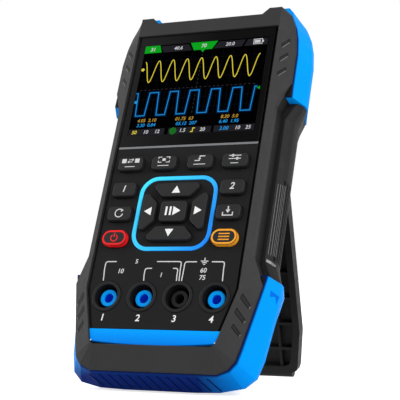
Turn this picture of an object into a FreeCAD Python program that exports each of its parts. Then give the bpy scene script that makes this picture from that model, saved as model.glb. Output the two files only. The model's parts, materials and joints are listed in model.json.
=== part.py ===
"""Handheld two-channel oscilloscope and multimeter, standing on its fold-out leg.

The case is modelled upright: X to the right, Y from the front to the back, Z up along the
case, with Y = 0 on the front of the fascia plate and Z = 0 at the lowest line of the rubber.
Every sub-part then gets one placement that leans the case back on its feet and the leg, and
puts the origin on the ground under the middle of the whole object.
"""
import FreeCAD, Part
import Sketcher
import math
import os

document = FreeCAD.newDocument("Oscilloscope")
sheet = document.addObject("Spreadsheet::Sheet", "Sizes")
parts = {}          # label -> object, in the order they are made


# ---------------------------------------------------------------- sizes as numbers and text

class Size:
    """A number together with the spreadsheet expression that gives it."""

    def __init__(self, value, text):
        self.value = value
        self.text = text

    def __add__(self, other):
        other = as_size(other)
        return Size(self.value + other.value, f"({self.text} + {other.text})")

    def __sub__(self, other):
        other = as_size(other)
        return Size(self.value - other.value, f"({self.text} - {other.text})")

    def __mul__(self, other):
        other = as_size(other)
        return Size(self.value * other.value, f"({self.text} * {other.text})")

    def __truediv__(self, other):
        other = as_size(other)
        return Size(self.value / other.value, f"({self.text} / {other.text})")

    def __neg__(self):
        return Size(-self.value, f"(0 - {self.text})")

    def __rsub__(self, other):
        return as_size(other) - self

    __radd__ = __add__
    __rmul__ = __mul__


def as_size(number):
    return number if isinstance(number, Size) else Size(float(number), repr(float(number)))


def tangent(angle):
    return Size(math.tan(math.radians(angle.value)), f"tan({angle.text} * 1 deg)")


def cosine(angle):
    return Size(math.cos(math.radians(angle.value)), f"cos({angle.text} * 1 deg)")


def bind(thing, name, size):
    thing.setExpression(name, as_size(size).text)


row = 0


def cell(name, value):
    """One driving dimension: its name in column A, its plain number in column B."""
    global row
    row += 1
    sheet.set(f"A{row}", name)
    sheet.set(f"B{row}", str(value))
    sheet.setAlias(f"B{row}", name)
    return Size(float(value), f"Sizes.{name}")


# ---------------------------------------------------------------- driving dimensions, mm

# Widths across the face, from the middle line outwards.
plate_half = cell("plate_half_width", 31.5)         # glass and fascia plate
face_groove = cell("face_groove", 1.4)              # gap between the plate and the frame
slope_width = cell("slope_width", 7.6)              # sloped strip down each side
slope_depth = cell("slope_depth", 4.3)              # how far that strip falls back
bumper_proud = cell("bumper_proud", 4.0)            # rubber outside the shell
waist_inset = cell("waist_inset", 4.8)              # the sides narrow by this at the front
waist_draft = cell("waist_draft", 0.3)              # and by this less at the parting line
rear_inset = cell("rear_inset", 1.2)                # everything narrows by this towards the back
face_taper = cell("face_taper", 6.1)                # the face narrows by this at the bottom

# Heights, each from the one below it.
face_low = cell("face_bottom", 14.3)                # bottom edge of the face
shell_low = cell("shell_bottom", 5.4)               # bottom of the shell over the rubber
sockets_up = cell("socket_row_height", 34.55)
pad_up = cell("arrow_pad_above_sockets", 36.05)
side_key_drop = cell("side_keys_below_pad", 0.6)
side_key_pitch = cell("side_key_pitch", 10.95)
soft_key_up = cell("soft_keys_above_pad", 22.2)
trim_up = cell("trim_above_soft_keys", 8.5)
trim_tall = cell("trim_height", 1.0)
view_rise = cell("display_above_window_bottom", 6.0)
top_band = cell("top_band_height", 9.55)
notch_deep = cell("top_notch_depth", 2.85)
notch_half = cell("top_notch_half_width", 24.4)
notch_flare = cell("top_notch_flare", 2.8)
waist_low_start = cell("waist_start_above_sockets", 6.75)
waist_ramp = cell("waist_ramp_height", 11.0)
waist_high_up = cell("waist_end_above_window", 18.0)
shoulder_drop_a = cell("shoulder_start_below_top", 20.85)
shoulder_drop_b = cell("shoulder_second_below_top", 12.85)
shoulder_drop_c = cell("shoulder_third_below_top", 7.35)
shoulder_drop_d = cell("shoulder_fourth_below_top", 2.15)
seat_drop = cell("rubber_seat_below_top", 1.7)
cap_over = cell("rubber_cap_above_top", 2.95)
cap_reach = cell("rubber_cap_inner_edge", 23.6)
rubber_under = cell("rubber_under_shell", 4.55)
rubber_flat = cell("rubber_flat_half_width", 15.0)
lower_end_up = cell("lower_bumper_end_above_waist", 4.4)
upper_end_up = cell("upper_bumper_end_above_waist", 5.2)

# Depths, from the front of the fascia plate backwards.
bezel_proud = cell("bezel_proud", 0.6)              # frame edge in front of the plate
plate_thick = cell("plate_thickness", 1.8)
deck_thick = cell("deck_thickness", 1.6)
parting = cell("parting_depth", 12.0)
case_depth = cell("case_depth", 35.0)
recess_deep = cell("leg_recess_depth", 6.2)
wall = cell("wall", 2.2)
rubber_front = cell("rubber_front_depth", 5.0)
crown_front = cell("rubber_crown_front", 14.0)
crown_back = cell("rubber_crown_back", 16.5)
rubber_back = cell("rubber_back_depth", 29.0)

# Standing.
lean = cell("lean_angle", 23.0)                     # case leans back by this, degrees
leg_tilt = cell("leg_tilt", 15.4)                   # open leg off the vertical, degrees
foot_high = cell("foot_height", 0.75)
foot_wide = cell("foot_width", 11.8)
foot_in = cell("foot_inner_edge", 3.0)
foot_start = cell("foot_behind_crown", 5.5)
foot_long = cell("foot_length", 7.0)

# Stand leg.
hinge_in = cell("hinge_before_back", 3.9)
hinge_up = cell("hinge_height", 108.0)
pin_radius = cell("hinge_pin_radius", 1.5)
pin_seat = cell("hinge_pin_seat_depth", 1.4)
leg_half = cell("leg_half_width", 32.0)
leg_thick = cell("leg_thickness", 5.0)
leg_skin = cell("leg_skin", 1.6)
leg_rim = cell("leg_rim_width", 3.0)
leg_rib = cell("leg_rib_width", 1.2)
leg_rib_pitch = cell("leg_rib_pitch", 11.4)
leg_rib_first = cell("leg_first_rib_height", 11.0)
leg_corner = cell("leg_corner_width", 5.5)
hub_radius = cell("leg_hub_radius", 2.5)
side_gap = cell("leg_side_clearance", 1.2)
running_gap = cell("running_clearance", 0.2)

# Keys.
key_proud = cell("key_height_over_plate", 2.2)
key_gap = cell("key_clearance", 0.25)
key_flange = cell("key_flange_width", 0.8)
flange_thick = cell("key_flange_thickness", 0.7)
key_travel = cell("key_travel", 0.8)
key_round = cell("key_edge_radius", 0.5)
soft_wide = cell("soft_key_width", 11.0)
soft_tall = cell("soft_key_height", 5.9)
soft_inner = cell("soft_key_inner_place", 8.1)
soft_outer = cell("soft_key_outer_place", 23.4)
side_wide = cell("side_key_width", 10.3)
side_tall = cell("side_key_height", 6.1)
side_place = cell("side_key_place", 24.0)
round_wide = cell("power_key_width", 10.8)
round_tall = cell("power_key_height", 6.5)
key_corner = cell("key_corner_radius", 1.6)
run_wide = cell("run_key_width", 11.5)
run_tall = cell("run_key_height", 9.0)
arrow_long = cell("arrow_key_outer_length", 23.5)
arrow_short = cell("arrow_key_inner_length", 12.5)
arrow_tall = cell("arrow_key_height", 6.0)
arrow_up_place = cell("arrow_key_up_place", 9.6)
arrow_side_start = cell("arrow_side_key_start", 8.0)
arrow_side_end = cell("arrow_side_key_end", 14.2)
arrow_side_outer = cell("arrow_side_key_outer_height", 20.0)
arrow_side_inner = cell("arrow_side_key_inner_height", 8.5)
ring_half_wide = cell("pad_ring_half_width", 16.5)
ring_half_tall = cell("pad_ring_half_height", 15.7)
ring_line = cell("pad_ring_line", 1.7)
ring_corner = cell("pad_ring_corner_radius", 7.0)
ring_deep = cell("pad_ring_depth", 0.8)
ring_proud = cell("pad_ring_proud", 0.3)

# Display.
glass_view_half = cell("display_half_width", 28.8)
glass_view_tall = cell("display_height", 43.2)
view_drop = cell("display_below_window_top", 5.8)
view_slack = cell("display_opening_clearance", 0.2)
module_edge = cell("display_module_margin", 1.4)
module_thick = cell("display_module_thickness", 3.4)

# Circuit board and what it carries.
board_half = cell("board_half_width", 32.5)
board_thick = cell("board_thickness", 1.6)
board_gap = cell("board_behind_deck", 2.2)
board_low = cell("board_above_sockets", 8.8)
board_drop = cell("board_below_cavity_top", 1.5)
cavity_half = cell("cavity_half_width", 34.2)
cavity_low = cell("cavity_bottom", 13.0)
cavity_drop = cell("cavity_below_top", 10.5)
mat_thick = cell("keypad_mat_thickness", 1.3)
dome_radius = cell("key_dome_radius", 3.0)
seat_gap = cell("seating_clearance", 0.05)
can_tall = cell("shield_can_depth", 3.0)
can_inner = cell("shield_can_inner_edge", 4.0)
can_outer = cell("shield_can_outer_edge", 26.0)
can_up = cell("shield_can_above_trim", 12.0)
can_drop = cell("shield_can_below_board_top", 13.0)
chip_thick = cell("chip_thickness", 1.4)
buzzer_radius = cell("buzzer_radius", 6.0)
buzzer_deep = cell("buzzer_depth", 6.5)
fuse_radius = cell("fuse_radius", 3.15)
fuse_long = cell("fuse_length", 25.0)
fuse_up = cell("fuse_above_board_edge", 6.0)
fuse_cap = cell("fuse_cap_length", 5.5)
clip_wide = cell("fuse_clip_width", 4.0)

# Battery.
cell_half = cell("battery_half_width", 24.0)
cell_tall = cell("battery_height", 62.0)
cell_thick = cell("battery_thickness", 8.0)
cell_low = cell("battery_above_pad", 2.0)
foam_thick = cell("battery_foam_thickness", 1.2)
tray_wall = cell("battery_tray_wall", 1.6)
tray_gap = cell("battery_tray_clearance", 0.3)

# Banana sockets.
socket_pitch = cell("socket_pitch", 15.54)
shroud_radius = cell("shroud_outer_radius", 6.4)
well_radius = cell("shroud_inner_radius", 5.0)
shroud_proud = cell("shroud_proud", 0.3)
insert_radius = cell("insert_outer_radius", 3.6)
insert_back = cell("insert_behind_plate", 2.0)
insert_lip = cell("insert_lip", 1.2)
contact_wall = cell("contact_wall", 0.5)
socket_bore = cell("socket_bore_radius", 2.0)
socket_deep = cell("socket_depth", 20.0)
block_base = cell("socket_base_thickness", 2.0)
base_margin = cell("socket_base_margin", 1.6)

# Signal sockets on the top.
bnc_pitch = cell("bnc_pitch", 17.0)
bnc_depth = cell("bnc_centre_depth", 17.0)
bnc_radius = cell("bnc_barrel_radius", 4.8)
bnc_bore = cell("bnc_bore_radius", 4.1)
bnc_bore_deep = cell("bnc_bore_depth", 7.0)
bnc_over = cell("bnc_above_notch", 4.5)
bnc_well = cell("bnc_well_radius", 7.5)
bnc_well_deep = cell("bnc_well_depth", 5.5)
bnc_lug = cell("bnc_lug_height", 0.75)
bnc_lug_radius = cell("bnc_lug_radius", 1.0)
bnc_nut = cell("bnc_nut_radius", 6.6)
bnc_nut_tall = cell("bnc_nut_height", 2.0)
bnc_block_half = cell("bnc_block_half_width", 7.2)
bnc_block_tall = cell("bnc_block_height", 9.0)
bnc_contact = cell("bnc_contact_radius", 1.1)

# Charging socket.
usb_wide = cell("usb_width", 8.94)
usb_thick = cell("usb_thickness", 3.2)
usb_long = cell("usb_length", 7.6)
usb_shell = cell("usb_shell_thickness", 0.35)
usb_up = cell("usb_above_pad", 23.5)
usb_gap = cell("usb_opening_clearance", 0.3)
usb_sunk = cell("usb_mouth_sunk", 0.4)

# Screws.
screw_radius = cell("case_screw_radius", 1.4)
screw_head = cell("case_screw_head_radius", 2.8)
screw_head_tall = cell("case_screw_head_height", 1.8)
boss_radius = cell("screw_boss_radius", 3.3)
thread_deep = cell("screw_thread_depth", 6.0)
screw_low_x = cell("lower_screw_place", 28.6)
screw_low_z = cell("lower_screw_height", 19.5)
screw_high_x = cell("upper_screw_place", 30.6)
screw_high_drop = cell("upper_screw_below_top", 10.3)
small_screw = cell("board_screw_radius", 0.95)
small_head = cell("board_screw_head_radius", 1.8)
small_head_tall = cell("board_screw_head_height", 1.4)
small_boss = cell("board_boss_radius", 2.2)
screw_slack = cell("screw_hole_clearance", 0.05)
small_inset = cell("board_screw_inset", 3.0)
small_up = cell("board_screw_above_board_edge", 3.2)
small_over = cell("board_screw_above_trim", 0.8)

# Grips.
grip_proud = cell("grip_proud", 4.8)
grip_front = cell("grip_front_depth", 10.6)
grip_taper = cell("grip_end_taper", 7.0)
rib_low_up = cell("grip_ribs_start", 2.2)
rib_length = cell("grip_ribs_length", 35.0)
rib_pitch = cell("grip_rib_pitch", 1.75)
rib_cut = cell("grip_rib_cut", 0.85)
rib_deep = cell("grip_rib_depth", 1.3)

document.recompute()

RIB_COUNT = 6            # grooves across each grip
SOCKETS = 4              # banana sockets in the row
STAND_RIBS = 7           # cross ribs inside the leg
# Processor, converter, memory and power parts: place across, above the pad, width and height.
CHIPS = ((0.0, 18.0, 14.0, 14.0), (-18.0, 20.0, 10.0, 10.0), (16.0, 18.0, 6.0, 9.0),
         (2.0, 0.0, 5.0, 5.0))

# ---------------------------------------------------------------- stations worked out

zero = as_size(0.0)
face_half = plate_half + face_groove
shell_half = face_half + slope_width
waist_front = shell_half - waist_inset
waist_half = waist_front + waist_draft
slope_back = slope_depth - bezel_proud

pad_z = sockets_up + pad_up
side_z = pad_z - side_key_drop
soft_z = pad_z + soft_key_up
trim_z = soft_z + trim_up - 0.5 * trim_tall
window_z = trim_z + trim_tall
window_top = window_z + view_rise + glass_view_tall + view_drop
top_z = window_top + top_band
notch_z = top_z - notch_deep
seat_z = top_z - seat_drop                  # shoulder of the shell under the rubber
cap_z = top_z + cap_over
taper_z = sockets_up + 3.45                 # where the face starts to narrow

waist_low_out = sockets_up + waist_low_start
waist_low = waist_low_out + waist_ramp
waist_high = window_z + waist_high_up
waist_high_out = waist_high + waist_ramp
shoulder_a = top_z - shoulder_drop_a
shoulder_b = top_z - shoulder_drop_b
shoulder_c = top_z - shoulder_drop_c
shoulder_d = top_z - shoulder_drop_d

deck_front = plate_thick
deck_back = plate_thick + deck_thick
back_y = case_depth - bezel_proud
recess_y = back_y - recess_deep
hinge_depth = case_depth - hinge_in
cavity_back = recess_y - wall
cavity_top = top_z - cavity_drop
board_y = deck_back + board_gap
board_back = board_y + board_thick
board_z = sockets_up + board_low
board_top = cavity_top - board_drop
bumper_low_top = waist_low_out + lower_end_up
bumper_high_low = waist_high + upper_end_up
foot_front = crown_front + foot_start
foot_back = foot_front + foot_long


def rise(depth):
    """How much the underside has risen at a depth behind the crown."""
    return (depth - crown_front) * tangent(lean)


def floor_z(depth):
    """Height of the ground line, which the case meets at the lean angle."""
    return rise(depth) + shell_low - rubber_under - foot_high


def draw_in(depth):
    """How much narrower the case is at a depth behind the crown."""
    if depth.value <= crown_back.value:
        return zero
    return rear_inset * (depth - crown_back) / (rubber_back - crown_back)


def between(low, high, height):
    """X at a height on the straight line between two (x, z) points."""
    share = (height - low[1]) / (high[1] - low[1])
    return low[0] + (high[0] - low[0]) * share


# ---------------------------------------------------------------- modelling helpers

def body(name):
    """A PartDesign body whose label names the sub-part."""
    new = document.addObject("PartDesign::Body", name)
    new.Label = name
    new.AllowCompound = True
    parts[name] = new
    return new


def sketch(owner, role, offset, name="outline"):
    """A sketch on one of the body's origin planes, moved along the plane's normal."""
    new = owner.newObject("Sketcher::SketchObject", name)
    plane = next(item for item in owner.Origin.OriginFeatures if item.Role == role)
    new.AttachmentSupport = [(plane, "")]
    new.MapMode = "FlatFace"
    bind(new, "AttachmentOffset.Base.z", offset)
    return new


def face_sketch(owner, depth, name="outline"):
    """A sketch seen from the front, X and Z, at a depth Y."""
    return sketch(owner, "XZ_Plane", -as_size(depth), name)


def side_sketch(owner, across, name="profile"):
    """A sketch seen from the right side, Y and Z, at a place X."""
    return sketch(owner, "YZ_Plane", across, name)


def plan_sketch(owner, height, name="plan"):
    """A sketch seen from above, X and Y, at a height Z."""
    return sketch(owner, "XY_Plane", height, name)


def fix(where, kind, geometry, point, size):
    """Holds one coordinate of a sketch point at a bound distance from the origin."""
    index = where.addConstraint(Sketcher.Constraint(kind, -1, 1, geometry, point, size.value))
    bind(where, f"Constraints[{index}]", size)


def polygon(where, points):
    """Straight lines through the points, each corner held by two bound distances."""
    points = [(as_size(x), as_size(y)) for x, y in points]
    vectors = [FreeCAD.Vector(x.value, y.value, 0) for x, y in points]
    first = where.GeometryCount
    count = len(points)
    for index in range(count):
        where.addGeometry(Part.LineSegment(vectors[index], vectors[(index + 1) % count]), False)
    for index in range(count):
        following = first + (index + 1) % count
        where.addConstraint(Sketcher.Constraint("Coincident", first + index, 2, following, 1))
    for index, (x, y) in enumerate(points):
        fix(where, "DistanceX", first + index, 1, x)
        fix(where, "DistanceY", first + index, 1, y)


def rounded(where, points, radius):
    """A polygon with every corner rounded by a tangent arc of one bound radius."""
    points = [(as_size(x), as_size(y)) for x, y in points]
    corners = [FreeCAD.Vector(x.value, y.value, 0) for x, y in points]
    radius = as_size(radius)
    count = len(points)
    starts, ends, arcs = [], [], []
    for index in range(count):
        corner = corners[index]
        back = (corners[index - 1] - corner).normalize()
        ahead = (corners[(index + 1) % count] - corner).normalize()
        half_angle = back.getAngle(ahead) / 2
        run = radius.value / math.tan(half_angle)
        centre = corner + (back + ahead).normalize() * (radius.value / math.sin(half_angle))
        middle = centre - (back + ahead).normalize() * radius.value
        starts.append(corner + back * run)
        ends.append(corner + ahead * run)
        arcs.append(Part.Arc(starts[-1], middle, ends[-1]))
    first = where.GeometryCount
    for index in range(count):
        where.addGeometry(Part.LineSegment(ends[index], starts[(index + 1) % count]), False)
    for arc in arcs:
        where.addGeometry(arc, False)
    for corner in corners:
        where.addGeometry(Part.Point(corner), True)
    for index in range(count):
        line = first + index
        line_before = first + (index - 1) % count
        arc = first + count + index
        corner = first + 2 * count + index
        corner_ahead = first + 2 * count + (index + 1) % count
        begins = (where.Geometry[arc].StartPoint - starts[index]).Length < 1e-6
        arc_in, arc_out = (1, 2) if begins else (2, 1)
        fix(where, "DistanceX", corner, 1, points[index][0])
        fix(where, "DistanceY", corner, 1, points[index][1])
        where.addConstraint(Sketcher.Constraint("PointOnObject", corner, 1, line))
        where.addConstraint(Sketcher.Constraint("PointOnObject", corner_ahead, 1, line))
        where.addConstraint(Sketcher.Constraint("Tangent", line_before, 2, arc, arc_in))
        where.addConstraint(Sketcher.Constraint("Tangent", line, 1, arc, arc_out))
        held = where.addConstraint(Sketcher.Constraint("Radius", arc, radius.value))
        bind(where, f"Constraints[{held}]", radius)


def circle(where, x, y, radius):
    x, y, radius = as_size(x), as_size(y), as_size(radius)
    centre = FreeCAD.Vector(x.value, y.value, 0)
    index = where.addGeometry(Part.Circle(centre, FreeCAD.Vector(0, 0, 1), radius.value), False)
    fix(where, "DistanceX", index, 3, x)
    fix(where, "DistanceY", index, 3, y)
    held = where.addConstraint(Sketcher.Constraint("Radius", index, radius.value))
    bind(where, f"Constraints[{held}]", radius)


def box_points(left, right, low, high):
    return [(left, low), (right, low), (right, high), (left, high)]


def centred(x, z, wide, tall):
    return box_points(x - 0.5 * wide, x + 0.5 * wide, z - 0.5 * tall, z + 0.5 * tall)


def grow(x, z, wide, tall, margin):
    return centred(x, z, wide + 2.0 * margin, tall + 2.0 * margin)


def extrude(owner, profile, length, kind, forward):
    """A pad or a pocket; forward is along the sketch's own normal."""
    new = owner.newObject(f"PartDesign::{kind}", kind.lower())
    new.Profile = profile
    bind(new, "Length", length)
    natural = kind == "Pad"
    new.Reversed = forward != natural
    document.recompute()
    return new


def pad_back(owner, profile, length):
    """Adds material from a front-view sketch towards the back (+Y)."""
    return extrude(owner, profile, length, "Pad", False)


def cut_back(owner, profile, length):
    """Removes material from a front-view sketch towards the back (+Y)."""
    return extrude(owner, profile, length, "Pocket", False)


def pad_along(owner, profile, length):
    """Adds material along the sketch normal: +X for a side view, +Z for a plan."""
    return extrude(owner, profile, length, "Pad", True)


def cut_along(owner, profile, length):
    return extrude(owner, profile, length, "Pocket", True)


def loft(owner, sections, kind="AdditiveLoft"):
    """A solid with straight ruled sides through front-view outlines of equal corner count."""
    profiles = []
    for index, (depth, points) in enumerate(sections):
        profile = face_sketch(owner, depth, f"section_{index}")
        polygon(profile, points)
        profiles.append(profile)
    new = owner.newObject(f"PartDesign::{kind}", kind.lower())
    new.Profile = profiles[0]
    new.Sections = profiles[1:]
    new.Ruled = True
    document.recompute()
    return new


def edges_where(shape, test):
    return [f"Edge{index + 1}" for index, edge in enumerate(shape.Edges) if test(edge)]


def dress(owner, feature, kind, edges, size):
    """A Fillet or Chamfer on chosen edges of a feature."""
    new = owner.newObject(f"PartDesign::{kind}", kind.lower())
    new.Base = (feature, edges)
    bind(new, "Radius" if kind == "Fillet" else "Size", size)
    document.recompute()
    return new


def mirrored(right):
    """Closes an outline: the right half from bottom to top, then the same on the left."""
    return right + [(-as_size(x), z) for x, z in reversed(right)]


def plate(name, points, front, thick):
    """A flat piece seen from the front."""
    new = body(name)
    profile = face_sketch(new, front)
    polygon(profile, points)
    pad_back(new, profile, thick)
    return new


def flip(points):
    return [(-as_size(x), z) for x, z in reversed(points)]


# ---------------------------------------------------------------- outlines of the case

def face_edge(height):
    """Half width of the seat for the plates where the face narrows."""
    return between((face_half - face_taper, face_low + 1.6), (face_half - 0.02, taper_z), height)


def face_outline():
    """Front edge of the frame, where the sloped strip begins."""
    low = face_half - face_taper
    right = [(low - 2.3, face_low - 0.1), (low - 0.9, face_low + 0.05), (low - 0.2, face_low + 0.5),
             (low + 0.2, face_low + 1.7), (face_half, taper_z), (face_half, shoulder_a),
             (face_half, shoulder_b), (face_half, shoulder_c), (face_half, shoulder_d),
             (face_half, top_z)]
    return mirrored(right)


def shell_corner(lift, inset):
    """Lower right of the shell, bottom to side, lifted underneath and drawn in by inset."""
    return [(shell_half - 13.5 - 0.6 * inset, shell_low + lift + 0.9 * inset),
            (shell_half - 9.1 - 0.85 * inset, shell_low + 2.1 + 0.84 * lift + 0.75 * inset),
            (shell_half - 6.7 - 0.95 * inset, shell_low + 5.3 + 0.66 * lift + 0.5 * inset),
            (shell_half - 5.5 - inset, shell_low + 10.0 + 0.38 * lift + 0.3 * inset),
            (shell_half - inset, waist_low_out)]


def waist_points(inset):
    """The two ends of the waist, from its lower ramp to the start of its upper ramp."""
    return [(waist_half - 0.3 * inset, waist_low), (waist_half - 0.3 * inset, waist_high)]


def shell_shoulder(inset):
    return [(shell_half - inset, shoulder_a), (shell_half - 0.9 - inset, shoulder_b),
            (shell_half - 2.2 - inset, shoulder_c), (shell_half - 4.1 - inset, shoulder_d)]


def shoulder_end():
    return (shell_half - 6.1, top_z)


def front_outline():
    return mirrored(shell_corner(zero, zero) + shell_shoulder(zero) + [shoulder_end()])


def seat_corner(inset):
    """Where the shoulder line meets the step that carries the rubber cap."""
    meets = between(shell_shoulder(zero)[-1], shoulder_end(), seat_z)
    return (meets - inset, seat_z - 0.8 * inset)


def rear_outline(lift, inset):
    """The shell behind the parting line, waisted, lifted underneath and drawn in by inset."""
    return mirrored(shell_corner(lift, inset) + waist_points(inset)
                    + [(shell_half - inset, waist_high_out)] + shell_shoulder(inset)
                    + [seat_corner(inset)])


def notch_points():
    """The trough across the top, with flared sides, up past the top of the case."""
    slope = notch_flare / (notch_deep - 0.2)
    over = notch_deep + 4.0
    return [(-notch_half, notch_z), (notch_half, notch_z),
            (notch_half + slope * over, notch_z + over), (-(notch_half + slope * over), notch_z + over)]


def cavity_points():
    return mirrored([(cavity_half - 6.2, cavity_low), (cavity_half - 2.2, cavity_low + 3.0),
                     (cavity_half, cavity_low + 25.0), (cavity_half, cavity_top - 5.0),
                     (cavity_half - 1.2, cavity_top)])


def socket_places():
    middle = 0.5 * (SOCKETS - 1)
    return [(index - middle) * socket_pitch for index in range(SOCKETS)]


def bnc_places():
    return [-bnc_pitch, zero, bnc_pitch]


def case_screw_places():
    high = top_z - screw_high_drop
    return [(side * x, z) for x, z in ((screw_low_x, screw_low_z), (screw_high_x, high))
            for side in (-1.0, 1.0)]


def board_screw_places():
    return [(side * (board_half - small_inset), z) for z in (board_z + small_up, trim_z + small_over)
            for side in (-1.0, 1.0)]


# ---------------------------------------------------------------- keys: outlines and places

def key_outline(kind, x, z, margin):
    """Corners and corner radius of one key, grown by a margin all round."""
    if kind == "soft":
        return grow(x, z, soft_wide, soft_tall, margin), key_corner + margin
    if kind == "side":
        return grow(x, z, side_wide, side_tall, margin), key_corner + margin
    if kind == "round":
        return grow(x, z, round_wide, round_tall, margin), 0.48 * round_tall + margin
    if kind == "run":
        return grow(x, z, run_wide, run_tall, margin), key_corner + margin
    lean_in = (arrow_long - arrow_short) * 0.5
    if kind in ("up", "down"):
        way = 1.0 if kind == "up" else -1.0
        outer = z + way * (0.5 * arrow_tall + margin)
        inner = z - way * (0.5 * arrow_tall + margin)
        reach_outer = 0.5 * arrow_long + 1.3 * margin
        reach_inner = 0.5 * arrow_long - lean_in + 0.6 * margin
        points = [(-reach_inner, inner), (reach_inner, inner), (reach_outer, outer),
                  (-reach_outer, outer)]
        return (points if kind == "up" else points[::-1]), key_corner + margin
    way = 1.0 if kind == "right" else -1.0
    outer = way * (arrow_side_end + margin)
    inner = way * (arrow_side_start - margin)
    reach_outer = 0.5 * arrow_side_outer + 1.3 * margin
    reach_inner = 0.5 * arrow_side_inner + 0.6 * margin
    points = [(inner, z - reach_inner), (outer, z - reach_outer), (outer, z + reach_outer),
              (inner, z + reach_inner)]
    return (points if kind == "right" else points[::-1]), key_corner + margin


def key_list():
    """Every key: name, kind and place."""
    top_row, low_row = side_z + side_key_pitch, side_z - side_key_pitch
    return [("key_move", "soft", -soft_outer, soft_z), ("key_select", "soft", -soft_inner, soft_z),
            ("key_trigger", "soft", soft_inner, soft_z),
            ("key_parameter", "soft", soft_outer, soft_z),
            ("key_channel_1", "side", -side_place, top_row),
            ("key_channel_2", "side", side_place, top_row),
            ("key_auto", "side", -side_place, side_z), ("key_save", "side", side_place, side_z),
            ("key_power", "round", -side_place, low_row), ("key_menu", "round", side_place, low_row),
            ("key_up", "up", zero, pad_z + arrow_up_place),
            ("key_down", "down", zero, pad_z - arrow_up_place),
            ("key_left", "left", zero, pad_z), ("key_right", "right", zero, pad_z),
            ("key_run", "run", zero, pad_z)]


# ---------------------------------------------------------------- the case

def front_shell():
    """Frame with sloped sides, a seat for the plates, a deck behind them and a hollow back."""
    shell = body("front_shell")
    loft(shell, [(-bezel_proud, face_outline()), (slope_back, front_outline())])
    rim = face_sketch(shell, slope_back, "rim")
    polygon(rim, front_outline())
    pad_back(shell, rim, parting - slope_back)

    for points in (waist_cut_points, lambda wall_x: flip(waist_cut_points(wall_x))):
        loft(shell, [(-1.0 - bezel_proud, points(waist_front)), (parting, points(waist_half))],
             "SubtractiveLoft")

    notch = face_sketch(shell, -2.0, "notch")
    polygon(notch, notch_points())
    cut_back(shell, notch, parting + 4.0)
    for way in (1.0, -1.0):
        step = face_sketch(shell, rubber_front, "step")
        polygon(step, box_points(way * (notch_half - 1.0), way * (shell_half + 2.0), seat_z, top_z + 2.0))
        cut_back(shell, step, parting)

    seat = face_sketch(shell, -2.0, "seat")
    low = face_half - face_taper
    polygon(seat, mirrored([(low - 1.6, face_low + 0.2), (low, face_low + 1.6),
                            (face_half - 0.02, taper_z), (face_half - 0.02, window_top + 0.4)]))
    cut_back(shell, seat, deck_front + 2.0)

    hollow = face_sketch(shell, deck_back, "hollow")
    polygon(hollow, cavity_points())
    cut_back(shell, hollow, parting)

    openings = face_sketch(shell, zero, "openings")
    polygon(openings, mirrored([(module_half() + view_slack, module_low() - view_slack),
                                (module_half() + view_slack, module_high() + view_slack)]))
    polygon(openings, mirrored([(plate_half - 0.9, low_key_edge()), (plate_half - 0.9, high_key_edge())]))
    for x in socket_places():
        circle(openings, x, sockets_up, shroud_radius + 0.1)
    cut_back(shell, openings, deck_back + 1.0)

    bosses = face_sketch(shell, deck_back, "bosses")
    for x, z in case_screw_places():
        circle(bosses, x, z, boss_radius)
    pad_back(shell, bosses, parting - deck_back)
    posts = face_sketch(shell, deck_back, "posts")
    for x, z in board_screw_places():
        circle(posts, x, z, small_boss)
    pad_back(shell, posts, board_gap)
    threads = face_sketch(shell, parting - thread_deep, "threads")
    for x, z in case_screw_places():
        circle(threads, x, z, screw_radius + screw_slack)
    cut_back(shell, threads, thread_deep + 1.0)
    small = face_sketch(shell, board_y - 3.2, "small_threads")
    for x, z in board_screw_places():
        circle(small, x, z, small_screw + screw_slack)
    cut_back(shell, small, 4.0)

    wells = plan_sketch(shell, notch_z - bnc_well_deep, "wells")
    for x in bnc_places():
        circle(wells, x, bnc_depth, bnc_well)
    cut_along(shell, wells, bnc_well_deep + 4.0)
    charge = side_sketch(shell, -(waist_half + 2.0), "charging")
    rounded(charge, usb_outline(usb_gap), 0.5 * usb_thick + 0.9 * usb_gap)
    cut_along(shell, charge, waist_half - cavity_half + 3.0)
    return shell


def waist_cut_points(wall_x):
    far = shell_half + 5.0
    return [(wall_x, waist_low), (shell_half, waist_low_out), (far, waist_low_out),
            (far, waist_high_out), (shell_half, waist_high_out), (wall_x, waist_high)]


def low_key_edge():
    return side_z - side_key_pitch - 0.5 * round_tall - 2.0


def high_key_edge():
    return soft_z + 0.5 * soft_tall + 1.6


def module_half():
    return glass_view_half + module_edge


def module_high():
    return window_top - view_drop + module_edge


def module_low():
    return module_high() - glass_view_tall - 2.0 * module_edge


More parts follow.
